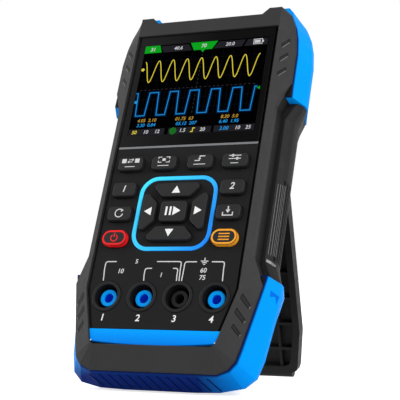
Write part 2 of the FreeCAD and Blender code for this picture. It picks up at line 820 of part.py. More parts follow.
def rear_shell():
    """Back half of the case: waisted, hollow, with the recess that the leg folds into."""
    shell = body("rear_shell")
    loft(shell, [(parting, rear_outline(zero, zero)), (crown_front, rear_outline(zero, zero)),
                 (crown_back, rear_outline(rise(crown_back), zero)),
                 (rubber_back, rear_outline(rise(rubber_back), rear_inset)),
                 (back_y, rear_outline(rise(back_y), rear_inset + 0.4 * recess_deep))])
    notch = face_sketch(shell, parting - 1.0, "notch")
    polygon(notch, notch_points())
    cut_back(shell, notch, case_depth)
    recess = face_sketch(shell, recess_y, "recess")
    half = leg_half + side_gap
    polygon(recess, box_points(-half, half, as_size(-10.0), hinge_up + 5.4))
    cut_back(shell, recess, case_depth)
    hollow = face_sketch(shell, parting - 1.0, "hollow")
    polygon(hollow, cavity_points())
    cut_back(shell, hollow, cavity_back - parting + 1.0)
    bosses = face_sketch(shell, parting, "bosses")
    for x, z in case_screw_places():
        circle(bosses, x, z, boss_radius)
    pad_back(shell, bosses, cavity_back - parting + 0.5)
    shanks = face_sketch(shell, parting - 1.0, "shanks")
    heads = face_sketch(shell, head_seat(), "heads")
    for x, z in case_screw_places():
        circle(shanks, x, z, screw_radius + 0.2)
        circle(heads, x, z, screw_head + 0.2)
    cut_back(shell, shanks, case_depth)
    cut_back(shell, heads, case_depth)
    wells = plan_sketch(shell, notch_z - bnc_well_deep, "wells")
    stems = plan_sketch(shell, cavity_top - 1.0, "stems")
    for x in bnc_places():
        circle(wells, x, bnc_depth, bnc_well)
        circle(stems, x, bnc_depth, bnc_radius + 0.1)
    cut_along(shell, wells, bnc_well_deep + 4.0)
    cut_along(shell, stems, top_z - cavity_top)
    pivot = side_sketch(shell, -pin_reach(), "pivot")
    circle(pivot, hinge_depth, hinge_up, pin_radius)
    cut_along(shell, pivot, 2.0 * pin_reach())
    return shell


def head_seat():
    return recess_y - screw_head_tall - 0.2


def pin_reach():
    return leg_half + side_gap + pin_seat


def fascia():
    """Dark plate round the keys and sockets, with a seat for the ring line."""
    new = body("fascia")
    outline = face_sketch(new, zero)
    low = label_top() + 0.1
    narrow = face_edge(low) - face_groove
    polygon(outline, mirrored([(narrow, low), (plate_half, taper_z), (plate_half, trim_z - seat_gap)]))
    pad_back(new, outline, plate_thick)
    for name, kind, x, z in key_list():
        hole = face_sketch(new, -1.0, f"hole_{name}")
        rounded(hole, *key_outline(kind, x, z, key_gap))
        cut_back(new, hole, plate_thick + 2.0)
    holes = face_sketch(new, -1.0, "socket_holes")
    for x in socket_places():
        circle(holes, x, sockets_up, shroud_radius + 0.1)
    cut_back(new, holes, plate_thick + 2.0)
    seat = face_sketch(new, zero, "ring_seat")
    ring_sketch(seat, 0.02)
    cut_back(new, seat, ring_deep)
    return new


def ring_sketch(where, margin):
    """Two rounded outlines, the ring line between them."""
    half_line = 0.5 * ring_line + margin
    for step in (half_line, -half_line):
        points = box_points(-(ring_half_wide + step), ring_half_wide + step,
                            pad_z - ring_half_tall - step, pad_z + ring_half_tall + step)
        rounded(where, points, ring_corner + step)


def nav_ring():
    new = body("nav_ring")
    outline = face_sketch(new, -ring_proud)
    ring_sketch(outline, 0.0)
    pad_back(new, outline, ring_proud + ring_deep)
    return new


def label_top():
    return face_low + 6.7


def label_strip():
    """Coloured band under the sockets; its lower edge sags in the middle."""
    new = body("label_strip")
    outline = face_sketch(new, zero)
    side_low, side_high = face_low + 1.7, label_top()
    low_x, high_x = face_edge(side_low) - 0.15, face_edge(side_high) - 0.15
    sag_z = face_low + 0.3
    polygon_with_arc(outline, [(low_x, side_low), (high_x, side_high), (-high_x, side_high),
                               (-low_x, side_low)], sag_z)
    pad_back(new, outline, plate_thick)
    return new


def polygon_with_arc(where, points, sag_z):
    """Lines through the points, closed by an arc whose lowest point is at sag_z on X = 0."""
    vectors = [FreeCAD.Vector(as_size(x).value, as_size(z).value, 0) for x, z in points]
    last = len(points) - 1
    for index in range(last):
        where.addGeometry(Part.LineSegment(vectors[index], vectors[index + 1]), False)
    lowest = FreeCAD.Vector(0, sag_z.value, 0)
    where.addGeometry(Part.Arc(vectors[last], lowest, vectors[0]), False)
    arc = last
    begins = (where.Geometry[arc].StartPoint - vectors[last]).Length < 1e-6
    first_end, second_end = (1, 2) if begins else (2, 1)
    for index in range(last - 1):
        where.addConstraint(Sketcher.Constraint("Coincident", index, 2, index + 1, 1))
    where.addConstraint(Sketcher.Constraint("Coincident", last - 1, 2, arc, first_end))
    where.addConstraint(Sketcher.Constraint("Coincident", 0, 1, arc, second_end))
    for index in range(last):
        fix(where, "DistanceX", index, 1, points[index][0])
        fix(where, "DistanceY", index, 1, points[index][1])
    fix(where, "DistanceX", last - 1, 2, points[last][0])
    fix(where, "DistanceY", last - 1, 2, points[last][1])
    low_point = where.addGeometry(Part.Point(lowest), True)
    fix(where, "DistanceY", low_point, 1, sag_z)
    where.addConstraint(Sketcher.Constraint("DistanceX", -1, 1, low_point, 1, 0.0))
    where.addConstraint(Sketcher.Constraint("PointOnObject", low_point, 1, arc))


# ---------------------------------------------------------------- rubber

# Depth of each section of the rubber, with the share of its full thickness there.
def rubber_levels():
    return [(rubber_front, 0.04), (crown_front, 1.0), (crown_back, 1.0), (rubber_back, 0.1)]


def ramp_low(height, inset):
    """Half width of the shell on the lower ramp of the waist."""
    return between((shell_half - inset, waist_low_out), waist_points(inset)[0], height)


def ramp_high(height, inset):
    """Half width of the shell on the upper ramp of the waist."""
    return between(waist_points(inset)[1], (shell_half - inset, waist_high_out), height)


def upper_rubber(name, side):
    """Corner bumper: up the side from the waist, over the shoulder to the top trough."""
    new = body(name)
    sections = []
    for depth, share in rubber_levels():
        out = bumper_proud * share
        inset = draw_in(depth)
        seat_x, seat_height = seat_corner(inset)
        cap = cap_z - 0.8 * inset
        inner = [(ramp_high(bumper_high_low, inset), bumper_high_low),
                 (shell_half - inset, waist_high_out)] + shell_shoulder(inset)
        inner += [(seat_x, seat_height), (cap_reach, seat_height)]
        (ax, az), (bx, bz), (cx, cz), (dx, dz) = shell_shoulder(inset)
        outer = [(shell_half - inset + 0.1 + 0.95 * out, bumper_high_low),
                 (shell_half - inset + out, bumper_high_low + 3.6),
                 (ax + out, az - 0.25 * out), (bx + out, bz - 0.22 * out),
                 (cx + 0.92 * out, cz - 0.05 * out), (dx + 0.8 * out, dz - 0.08 * out),
                 (seat_x + 0.1 + 0.1 * out, cap - 2.3 + 0.25 * out),
                 (seat_x - 1.8, cap), (cap_reach + 3.8, cap)]
        points = outer + inner[::-1]
        sections.append((depth, points if side > 0 else flip(points)))
    loft(new, sections)
    return new


def lower_rubber():
    """U-shaped bumper: down one side, under the case and up the other."""
    new = body("bumper_lower")
    sections = []
    for depth, share in rubber_levels():
        out = bumper_proud * share
        inset = draw_in(depth)
        lift = rise(depth) if depth.value > crown_front.value else zero
        corner = shell_corner(lift, inset)
        under = rubber_under * (share if depth.value < crown_front.value else 1.0)
        behind = 1.0 - (1.0 - share) * (0.6 if depth.value > crown_back.value else 1.0)
        (bx, bz), (cx, cz), (dx, dz), (ex, ez), (fx, fz) = corner
        outer = [(rubber_flat, shell_low + lift - under),
                 (bx - 1.5 * behind, bz - 4.2 * behind), (cx + 3.3 * behind, cz - 4.3 * behind),
                 (dx + 5.2 * share, dz - 3.5 * share), (ex + 6.0 * share, ez - 0.8 * share),
                 (fx + out, fz - 0.25 * out),
                 (shell_half + 0.9 - inset + 0.75 * out, bumper_low_top)]
        inner = [(ramp_low(bumper_low_top, inset), bumper_low_top)] + corner[::-1]
        points = outer + inner + [(-x, z) for x, z in (outer + inner)[::-1]]
        sections.append((depth, points))
    loft(new, sections)
    slot = face_sketch(new, recess_y, "leg_slot")
    half = leg_half + side_gap
    polygon(slot, box_points(-half, half, as_size(-10.0), sockets_up))
    cut_back(new, slot, case_depth)
    return new


def feet():
    """Two pads under the back of the lower rubber, level with the ground."""
    new = body("feet")
    for place in (foot_in, -(foot_in + foot_wide)):
        profile = side_sketch(new, place)
        polygon(profile, [(foot_front, floor_z(foot_front)), (foot_back, floor_z(foot_back)),
                          (foot_back, floor_z(foot_back) + foot_high),
                          (foot_front, floor_z(foot_front) + foot_high)])
        pad_along(new, profile, foot_wide)
    return new


# Depth of each section of the grip behind its front, then how far it stands out of the case in
# the middle, as a share of the full thickness, and at its ends, in millimetres from the bumpers.
def grip_levels():
    return ((grip_front, 0.27, -2.3), (grip_front + 1.4, 0.68, -0.9), (crown_front, 0.95, 0.0),
            (crown_back, 1.0, 0.0), (crown_back + 2.5, 0.98, -0.6), (rubber_back - 5.0, 0.6, -2.3),
            (rubber_back, 0.25, -3.2))


def grip(name, side):
    """Rubber side grip in the waist, ribbed along its lower half."""
    new = body(name)
    low, high = bumper_low_top + 0.3, bumper_high_low - 0.3
    sections = []
    for depth, share, less in grip_levels():
        inset = draw_in(depth)
        out = waist_half - 0.3 * inset + grip_proud * share
        end = shell_half + 0.8 * bumper_proud - inset + less
        points = [(end, low), (out, low + grip_taper + 1.0), (out, high - grip_taper), (end, high),
                  (ramp_high(high, inset), high)] + waist_points(inset)[::-1]
        points += [(ramp_low(low, inset), low)]
        sections.append((depth, points if side > 0 else flip(points)))
    loft(new, sections)
    start = low + grip_taper + rib_low_up
    groove = side_sketch(new, side * (waist_half + grip_proud + 3.0), "groove")
    first = grip_front + 2.3
    polygon(groove, box_points(first, first + rib_cut, start, start + rib_length))
    cut = extrude(new, groove, rib_deep + 3.0, "Pocket", side < 0)
    rows = new.newObject("PartDesign::LinearPattern", "ribs")
    rows.Originals = [cut]
    rows.Direction = (next(f for f in new.Origin.OriginFeatures if f.Role == "Y_Axis"), [""])
    bind(rows, "Length", rib_pitch * (RIB_COUNT - 1))
    rows.Occurrences = RIB_COUNT
    new.Tip = rows
    document.recompute()
    return new


# ---------------------------------------------------------------- keys and what lies under them

def key(name, kind, x, z):
    """Moulded key: a cap through the plate and a flange behind it."""
    new = body(name)
    flange = face_sketch(new, plate_thick + seat_gap, "flange")
    rounded(flange, *key_outline(kind, x, z, key_flange))
    pad_back(new, flange, flange_thick)
    cap = face_sketch(new, -key_proud, "cap")
    rounded(cap, *key_outline(kind, x, z, zero))
    top = pad_back(new, cap, key_proud + plate_thick + seat_gap + 0.1)
    front = -key_proud.value
    edges = edges_where(top.Shape, lambda edge: all(abs(v.Y - front) < 1e-5 for v in edge.Vertexes))
    dress(new, top, "Fillet", edges, key_round)
    return new


def keypad_mat():
    new = plate("keypad_mat", mirrored([(plate_half + 0.4, low_key_edge() - 1.2),
                                        (plate_half + 0.4, high_key_edge() + 0.9)]),
                deck_back + seat_gap, mat_thick)
    return new


def key_domes():
    """Snap domes soldered to the board under every key."""
    new = body("key_domes")
    front = deck_back + seat_gap + mat_thick + seat_gap
    discs = face_sketch(new, front)
    for name, kind, x, z in key_list():
        way = {"left": -1.0, "right": 1.0}.get(kind, 0.0)
        circle(discs, x + way * 0.5 * (arrow_side_start + arrow_side_end), z, dome_radius)
    pad_back(new, discs, board_y - front)
    return new


def display_window():
    new = body("display_window")
    outline = face_sketch(new, zero)
    polygon(outline, mirrored([(plate_half, window_z + seat_gap), (plate_half, window_top)]))
    pane = pad_back(new, outline, plate_thick)
    edges = edges_where(pane.Shape, lambda edge: all(abs(v.Y) < 1e-6 for v in edge.Vertexes))
    dress(new, pane, "Chamfer", edges, 0.3)
    return new


def display_module():
    new = plate("display_module", mirrored([(module_half(), module_low()), (module_half(), module_high())]),
                plate_thick + seat_gap, module_thick)
    return new


def main_board():
    """Circuit board behind the display and keys."""
    new = plate("main_board", mirrored([(board_half, board_z), (board_half, board_top)]),
                board_y, board_thick)
    holes = face_sketch(new, board_y - 1.0, "holes")
    for x, z in board_screw_places():
        circle(holes, x, z, small_screw + screw_slack)
    cut_back(new, holes, board_thick + 2.0)
    notches = face_sketch(new, board_y - 1.0, "notches")
    for x, z in case_screw_places()[2:]:
        circle(notches, x, z, boss_radius + 0.3)
    cut_back(new, notches, board_thick + 2.0)
    return new


def shield_cans():
    new = body("shield_cans")
    outline = face_sketch(new, board_back)
    for way in (-1.0, 1.0):
        polygon(outline, box_points(way * can_inner, way * can_outer, trim_z + can_up,
                                    board_top - can_drop))
    pad_back(new, outline, can_tall)
    return new


def chips():
    """The larger parts on the back of the board."""
    new = body("chips")
    outline = face_sketch(new, board_back)
    for x, z, wide, tall in CHIPS:
        polygon(outline, centred(as_size(x), pad_z + z, as_size(wide), as_size(tall)))
    pad_back(new, outline, chip_thick)
    return new


def buzzer():
    new = body("buzzer")
    outline = face_sketch(new, board_back)
    circle(outline, board_half - 9.5, pad_z + 2.0, buzzer_radius)
    pad_back(new, outline, buzzer_deep)
    return new


def fuse_z():
    return board_z + fuse_up


def fuse_y():
    return board_back + fuse_radius + 0.8


def fuses():
    """Two cartridge fuses side by side on the back of the board."""
    new = body("fuses")
    for start in (-(fuse_long + 2.0), as_size(2.0)):
        tube = side_sketch(new, start)
        circle(tube, fuse_y(), fuse_z(), fuse_radius - 0.3)
        pad_along(new, tube, fuse_long)
        for end in (start, start + fuse_long - fuse_cap):
            cap = side_sketch(new, end, "cap")
            circle(cap, fuse_y(), fuse_z(), fuse_radius)
            pad_along(new, cap, fuse_cap)
    return new


def fuse_clips():
    """Spring clips that hold the fuse caps."""
    new = body("fuse_clips")
    inner, outer = fuse_radius + 0.02, fuse_radius + 0.6
    for start in (-(fuse_long + 2.0), as_size(2.0)):
        for place in (start + 0.7, start + fuse_long - clip_wide - 0.7):
            side = side_sketch(new, place)
            polygon(side, box_points(board_back, fuse_y() + 2.2, fuse_z() - outer, fuse_z() + outer))
            pad_along(new, side, clip_wide)
            bore = side_sketch(new, place - 0.5, "bore")
            circle(bore, fuse_y(), fuse_z(), inner)
            cut_along(new, bore, clip_wide + 1.0)
            mouth = side_sketch(new, place - 0.5, "mouth")
            polygon(mouth, box_points(fuse_y(), fuse_y() + 6.0, fuse_z() - 1.6, fuse_z() + 1.6))
            cut_along(new, mouth, clip_wide + 1.0)
    return new


def battery_low():
    return pad_z - cell_low


def battery():
    new = body("battery")
    outline = face_sketch(new, cavity_back - foam_thick - cell_thick)
    rounded(outline, box_points(-cell_half, cell_half, battery_low(), battery_low() + cell_tall), 2.0)
    pad_back(new, outline, cell_thick)
    return new


def battery_foam():
    return plate("battery_foam", box_points(-cell_half + 1.0, cell_half - 1.0, battery_low() + 1.0,
                                            battery_low() + cell_tall - 1.0),
                 cavity_back - foam_thick, foam_thick)


def battery_tray():
    """Frame moulding on the back wall that the battery lies in."""
    inner = cell_half + tray_gap
    outer = inner + tray_wall
    low, high = battery_low() - tray_gap, battery_low() + cell_tall + tray_gap
    front = cavity_back - foam_thick - cell_thick
    new = plate("battery_tray", box_points(-outer, outer, low - tray_wall, high + tray_wall),
                front, cavity_back - front)
    well = face_sketch(new, front - 1.0, "well")
    polygon(well, box_points(-inner, inner, low, high))
    cut_back(new, well, case_depth)
    return new


# ---------------------------------------------------------------- sockets

def socket_shrouds():
    """Four open tubes through the plate, one round each socket."""
    new = body("socket_shrouds")
    tubes = face_sketch(new, -shroud_proud, "tubes")
    for x in socket_places():
        circle(tubes, x, sockets_up, shroud_radius)
        circle(tubes, x, sockets_up, well_radius)
    pad_back(new, tubes, socket_deep + shroud_proud)
    return new


def socket_base():
    """Plate across the case that the shrouds and the inserts stand on."""
    half = 1.5 * socket_pitch + shroud_radius + base_margin
    return plate("socket_base", mirrored([(half, sockets_up - shroud_radius - 0.6),
                                          (half, sockets_up + shroud_radius + 0.6)]),
                 socket_deep, block_base)


def socket_insert(number, x):
    """Coloured insulator post with the bore mouth in its face."""
    new = body(f"socket_insert_{number}")
    outline = face_sketch(new, insert_back)
    circle(outline, x, sockets_up, insert_radius)
    circle(outline, x, sockets_up, socket_bore)
    pad_back(new, outline, insert_lip)
    sleeve = face_sketch(new, insert_back + insert_lip, "sleeve")
    circle(sleeve, x, sockets_up, insert_radius)
    circle(sleeve, x, sockets_up, socket_bore + contact_wall)
    pad_back(new, sleeve, socket_deep - insert_back - insert_lip)
    return new


def socket_contact(number, x):
    new = body(f"socket_contact_{number}")
    outline = face_sketch(new, insert_back + insert_lip)
    circle(outline, x, sockets_up, socket_bore + contact_wall)
    circle(outline, x, sockets_up, socket_bore)
    pad_back(new, outline, socket_deep - insert_back - insert_lip)
    return new


def bnc(name, x):
    """Bayonet coaxial socket: block on the board, barrel with two lugs, nut and contact."""
    new = body(name)
    block = plan_sketch(new, cavity_top - bnc_block_tall, "block")
    polygon(block, box_points(x - bnc_block_half, x + bnc_block_half, board_back + seat_gap,
                              bnc_depth + 6.0))
    pad_along(new, block, bnc_block_tall - seat_gap)
    barrel = plan_sketch(new, cavity_top - 1.0, "barrel")
    circle(barrel, x, bnc_depth, bnc_radius)
    tip = notch_z + bnc_over
    pad_along(new, barrel, tip - cavity_top + 1.0)
    nut = plan_sketch(new, notch_z - bnc_well_deep + seat_gap, "nut")
    half = 0.5 * bnc_nut
    high = bnc_nut * math.sqrt(3.0) * 0.5
    polygon(nut, [(x + bnc_nut, bnc_depth), (x + half, bnc_depth + high), (x - half, bnc_depth + high),
                  (x - bnc_nut, bnc_depth), (x - half, bnc_depth - high),
                  (x + half, bnc_depth - high)])
    pad_along(new, nut, bnc_nut_tall)
    lug = side_sketch(new, x - bnc_radius - bnc_lug, "lug")
    circle(lug, bnc_depth, tip - 3.2, bnc_lug_radius)
    pad_along(new, lug, 2.0 * (bnc_radius + bnc_lug))
    bore = plan_sketch(new, tip - bnc_bore_deep, "bore")
    circle(bore, x, bnc_depth, bnc_bore)
    cut_along(new, bore, bnc_bore_deep + 1.0)
    contact = plan_sketch(new, tip - bnc_bore_deep - 0.5, "contact")
    circle(contact, x, bnc_depth, bnc_contact)
    pad_along(new, contact, bnc_bore_deep - 1.5)
    return new


def usb_y():
    return board_back + seat_gap + 0.5 * usb_thick


def usb_z():
    return pad_z + usb_up


def usb_outline(margin):
    return [(usb_y() - 0.5 * usb_thick - margin, usb_z() - 0.5 * usb_wide - margin),
            (usb_y() + 0.5 * usb_thick + margin, usb_z() - 0.5 * usb_wide - margin),
            (usb_y() + 0.5 * usb_thick + margin, usb_z() + 0.5 * usb_wide + margin),
            (usb_y() - 0.5 * usb_thick - margin, usb_z() + 0.5 * usb_wide + margin)]


def usb_socket():
    """Charging socket on the board's edge, its mouth in the waist channel on the left."""
    new = body("usb_socket")
    mouth_x = -(waist_front - usb_sunk)
    case = side_sketch(new, mouth_x)
    rounded(case, usb_outline(zero), 0.45 * usb_thick)
    pad_along(new, case, usb_long)
    hollow = side_sketch(new, mouth_x - 1.0, "hollow")
    rounded(hollow, usb_outline(-usb_shell), 0.45 * usb_thick - usb_shell)
    cut_along(new, hollow, usb_long - 0.5)
    tongue = side_sketch(new, mouth_x + 0.8, "tongue")
    polygon(tongue, box_points(usb_y() - 0.35, usb_y() + 0.35, usb_z() - 0.37 * usb_wide,
                               usb_z() + 0.37 * usb_wide))
    pad_along(new, tongue, usb_long - 1.2)
    return new


# ---------------------------------------------------------------- fasteners

def case_screws():
    new = body("case_screws")
    shanks = face_sketch(new, parting - thread_deep + 0.5, "shanks")
    heads = face_sketch(new, head_seat(), "heads")
    slots = face_sketch(new, head_seat() + 0.9, "slots")
    for x, z in case_screw_places():
        circle(shanks, x, z, screw_radius)
        circle(heads, x, z, screw_head)
        polygon(slots, cross_points(x, z, 0.45, 1.6))
    pad_back(new, heads, screw_head_tall)
    pad_back(new, shanks, head_seat() - parting + thread_deep - 0.4)
    cut_back(new, slots, screw_head_tall)
    return new


def cross_points(x, z, thin, reach):
    """Outline of a cross recess."""
    steps = [(thin, -reach), (thin, -thin), (reach, -thin), (reach, thin), (thin, thin),
             (thin, reach), (-thin, reach), (-thin, thin), (-reach, thin), (-reach, -thin),
             (-thin, -thin), (-thin, -reach)]
    return [(x + across, z + up) for across, up in steps]


def board_screws():
    new = body("board_screws")
    shanks = face_sketch(new, board_y - 3.0, "shanks")
    heads = face_sketch(new, board_back, "heads")
    for x, z in board_screw_places():
        circle(shanks, x, z, small_screw)
        circle(heads, x, z, small_head)
    pad_back(new, heads, small_head_tall)
    pad_back(new, shanks, board_thick + 3.1)
    return new


# ---------------------------------------------------------------- stand leg

def hinge_height():
    """Height of the hinge over the ground when the case leans on its feet."""
    return (hinge_up - floor_z(hinge_depth)) * cosine(lean)


def leg_length():
    """From the hinge to the centre of the leg's rounded toe."""
    return (hinge_height() - 0.5 * leg_thick) / cosine(leg_tilt)


def leg_outline(length, margin):
    """Half outline of the leg hanging from its hinge at Z = 0; it tapers near its foot."""
    half = leg_half - margin
    return [(half - leg_corner, -(length - margin)), (half - 3.2, -(length - margin - 1.0)),
            (half - 2.4, -(length - margin - 3.0)), (half, -(length - 19.0)), (half, zero - 6.0)]


def stand_leg():
    """Moulded leg: a skin with rims and ribs on the side that faces the case, and a hub."""
    new = body("stand_leg")
    length = leg_length()
    half_thick = 0.5 * leg_thick
    frame = face_sketch(new, -half_thick, "frame")
    polygon(frame, mirrored(leg_outline(length, zero)))
    pad_back(new, frame, leg_thick)
    well = face_sketch(new, -half_thick, "well")
    polygon(well, mirrored(leg_outline(length, leg_rim)[:-1] + [(leg_half - leg_rim, as_size(-8.0))]))
    cut_back(new, well, leg_thick - leg_skin)
    ribs = face_sketch(new, -half_thick + 0.8, "ribs")
    for index in range(STAND_RIBS):
        z = -(length - leg_rib_first - index * leg_rib_pitch)
        polygon(ribs, box_points(-(leg_half - leg_rim + 0.1), leg_half - leg_rim + 0.1,
                                 z - 0.5 * leg_rib, z + 0.5 * leg_rib))
    pad_back(new, ribs, leg_thick - leg_skin - 0.7)
    for way in (-1.0, 1.0):
        strut = face_sketch(new, -half_thick + 0.8, "strut")
        place = way * (leg_half - 10.0)
        polygon(strut, box_points(place - 0.5 * leg_rib, place + 0.5 * leg_rib,
                                  -(length - leg_rim + 0.2), as_size(-7.0)))
        pad_back(new, strut, leg_thick - leg_skin - 0.7)
    hub = side_sketch(new, -(leg_half - 3.0), "hub")
    circle(hub, zero, zero, hub_radius)
    pad_along(new, hub, 2.0 * (leg_half - 3.0))
    for way in (-1.0, 1.0):
        arm = face_sketch(new, -half_thick, "arm")
        polygon(arm, box_points(way * (leg_half - 14.0), way * (leg_half - 3.0), as_size(-6.5), zero))
        pad_back(new, arm, leg_thick)
    toe = side_sketch(new, -(leg_half - leg_corner), "toe")
    circle(toe, zero, -length, half_thick)
    pad_along(new, toe, 2.0 * (leg_half - leg_corner))
    bore = side_sketch(new, -leg_half, "bore")
    circle(bore, zero, zero, pin_radius + running_gap)
    cut_along(new, bore, 2.0 * leg_half)
    return new


def stand_pin():
    new = body("stand_pin")
    rod = side_sketch(new, -pin_reach() + 0.1)
    circle(rod, hinge_depth, hinge_up, pin_radius)
    pad_along(new, rod, 2.0 * (pin_reach() - 0.1))
    return new


# ---------------------------------------------------------------- the whole object

def build():
    front_shell()
    rear_shell()
    fascia()
    display_window()
    plate("window_trim", mirrored([(plate_half - 0.1, trim_z), (plate_half - 0.1, window_z)]),
          as_size(-0.15), plate_thick + 0.15)
    label_strip()
    nav_ring()
    upper_rubber("bumper_upper_left", -1)
    upper_rubber("bumper_upper_right", 1)
    lower_rubber()
    feet()
    grip("grip_left", -1)
    grip("grip_right", 1)
    for name, kind, x, z in key_list():
        key(name, kind, x, z)
    keypad_mat()
    key_domes()
    display_module()
    main_board()
    shield_cans()
    chips()
    buzzer()
    fuses()
    fuse_clips()
    battery()
    battery_foam()
    battery_tray()
    socket_shrouds()
    socket_base()
    for number, x in enumerate(socket_places(), 1):
        socket_insert(number, x)
        socket_contact(number, x)
    bnc("bnc_channel_1", -bnc_pitch)
    bnc("bnc_channel_2", zero)
    bnc("bnc_generator", bnc_pitch)
    usb_socket()
    case_screws()
    board_screws()
    stand_leg()
    stand_pin()


def stance(low_corner, high_corner):
    """Moves the leaning case so that its box stands on the ground about the origin."""
    shift = FreeCAD.Vector(-(low_corner.x + high_corner.x) / 2, -(low_corner.y + high_corner.y) / 2,
                           -low_corner.z)
    return FreeCAD.Placement(shift, FreeCAD.Rotation())


def place_all():
    tilt = FreeCAD.Placement(FreeCAD.Vector(), FreeCAD.Rotation(FreeCAD.Vector(1, 0, 0), -lean.value))
    opening = FreeCAD.Rotation(FreeCAD.Vector(1, 0, 0), lean.value + leg_tilt.value)
    hinge = FreeCAD.Vector(0, hinge_depth.value, hinge_up.value)
    own = {name: FreeCAD.Placement() for name in parts}
    own["stand_leg"] = FreeCAD.Placement(hinge, opening)
    for name, thing in parts.items():
        thing.Placement = tilt.multiply(own[name])
    document.recompute()
    boxes = [thing.Shape.optimalBoundingBox(False, False) for thing in parts.values()]
    low = FreeCAD.Vector(min(b.XMin for b in boxes), min(b.YMin for b in boxes),
                         min(b.ZMin for b in boxes))
    high = FreeCAD.Vector(max(b.XMax for b in boxes), max(b.YMax for b in boxes),
                          max(b.ZMax for b in boxes))
    final = stance(low, high).multiply(tilt)
    for name, thing in parts.items():
        thing.Placement = final.multiply(own[name])
    document.recompute()
    return final


def check_all():
    for thing in document.Objects:
        if "Invalid" in thing.State or "Error" in thing.State:
            raise RuntimeError(f"{thing.Name} did not compute")
    for name, thing in parts.items():
        if thing.Shape.isNull() or not thing.Shape.isValid() or not thing.Shape.Solids:
            raise RuntimeError(f"{name} has no valid solid")


build()
case_placement = place_all()
check_all()
os.makedirs("parts", exist_ok=True)
for part_name, part_object in parts.items():
    part_object.Shape.exportStep(f"parts/{part_name}.step")
print(len(parts), "parts written")
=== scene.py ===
"""Looks of the handheld oscilloscope: finishes on the CAD solids, printed marks, the picture
on the display and the studio. Lengths in the case's own frame are millimetres: x to the right,
y from the front to the back, z up along the leaning case. y = 0 is the front of the fascia plate,
and z counts from SOCKET_ROW, the height of the row of sockets."""
import json
import math

import bpy
import bmesh
from mathutils import Matrix, Vector


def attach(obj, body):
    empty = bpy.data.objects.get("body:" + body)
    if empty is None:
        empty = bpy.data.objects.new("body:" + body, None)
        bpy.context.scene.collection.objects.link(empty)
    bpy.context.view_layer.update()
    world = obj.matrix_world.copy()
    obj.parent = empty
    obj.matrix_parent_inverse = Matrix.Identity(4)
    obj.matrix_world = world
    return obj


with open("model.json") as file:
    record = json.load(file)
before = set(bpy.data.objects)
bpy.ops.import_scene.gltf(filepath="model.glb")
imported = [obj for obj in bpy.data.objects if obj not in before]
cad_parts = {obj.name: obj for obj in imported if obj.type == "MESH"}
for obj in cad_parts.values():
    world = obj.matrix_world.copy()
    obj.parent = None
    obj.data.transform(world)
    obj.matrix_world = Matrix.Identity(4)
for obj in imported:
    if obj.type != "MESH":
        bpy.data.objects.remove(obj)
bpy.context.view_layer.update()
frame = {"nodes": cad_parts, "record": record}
nodes = frame["nodes"]
MM = 0.001

# ---------------------------------------------------------------- the case's own frame

socket_mounts = [m for m in frame["record"]["mounts"] if m["name"].startswith("banana_socket")]
socket_axis = socket_mounts[0]["axis"]
LEAN = math.atan2(socket_axis[2], -socket_axis[1])
tilt = Matrix.Rotation(-LEAN, 4, "X")


def corners(node):
    """Lowest and highest corner of a node, measured along the leaning case, in mm."""
    points = [tilt.inverted() @ v.co / MM for v in nodes[node].data.vertices]
    low = Vector([min(p[i] for p in points) for i in range(3)])
    high = Vector([max(p[i] for p in points) for i in range(3)])
    return low, high


SOCKET_ROW = 34.55        # height of the socket row in the case's own frame
socket_row = tilt.inverted() @ (Vector(socket_mounts[0]["pos_m"]) / MM)
ZERO = Vector((0.0, corners("fascia")[0].y, socket_row.z - SOCKET_ROW))
CASE = tilt @ Matrix.Scale(MM, 4) @ Matrix.Translation(ZERO)
FROM_CASE = CASE.inverted()


def case_box(node):
    """corners() moved to the case's own origin."""
    low, high = corners(node)
    return low - ZERO, high - ZERO


# ---------------------------------------------------------------- materials

def srgb(red, green, blue):
    """A colour read on screen, 0 to 255, as the shader wants it."""
    def linear(value):
        value /= 255.0
        return value / 12.92 if value <= 0.04045 else ((value + 0.055) / 1.055) ** 2.4
    return (linear(red), linear(green), linear(blue), 1.0)


def shader(name):
    """A new material: its node tree, links and Principled shader."""
    material = bpy.data.materials.new(name)
    material.use_nodes = True
    tree = material.node_tree
    return material, tree, tree.nodes["Principled BSDF"]


def noise(tree, scale, detail=2.0):
    """Cloudy texture fixed to the piece; scale counts the clouds in a metre."""
    place = tree.nodes.new("ShaderNodeTexCoord")
    texture = tree.nodes.new("ShaderNodeTexNoise")
    texture.inputs["Scale"].default_value = scale
    texture.inputs["Detail"].default_value = detail
    tree.links.new(place.outputs["Object"], texture.inputs["Vector"])
    return texture.outputs["Fac"]


def spread(tree, source, low, high):
    """Maps a 0 to 1 texture on to a range."""
    node = tree.nodes.new("ShaderNodeMapRange")
    node.inputs["From Min"].default_value = 0.3
    node.inputs["From Max"].default_value = 0.7
    node.inputs["To Min"].default_value = low
    node.inputs["To Max"].default_value = high
    tree.links.new(source, node.inputs["Value"])
    return node.outputs["Result"]


def mix(tree, factor, first, second):
    """Colour between two plain ones."""
    node = tree.nodes.new("ShaderNodeMix")
    node.data_type = "RGBA"
    node.inputs["A"].default_value = first
    node.inputs["B"].default_value = second
    tree.links.new(factor, node.inputs["Factor"])
    return node.outputs["Result"]


def shade(colour, share):
    return (colour[0] * share, colour[1] * share, colour[2] * share, 1.0)


GLOSS_CLOUDS, COLOUR_CLOUDS = 420.0, 60.0      # noise scales shared by the moulded surfaces


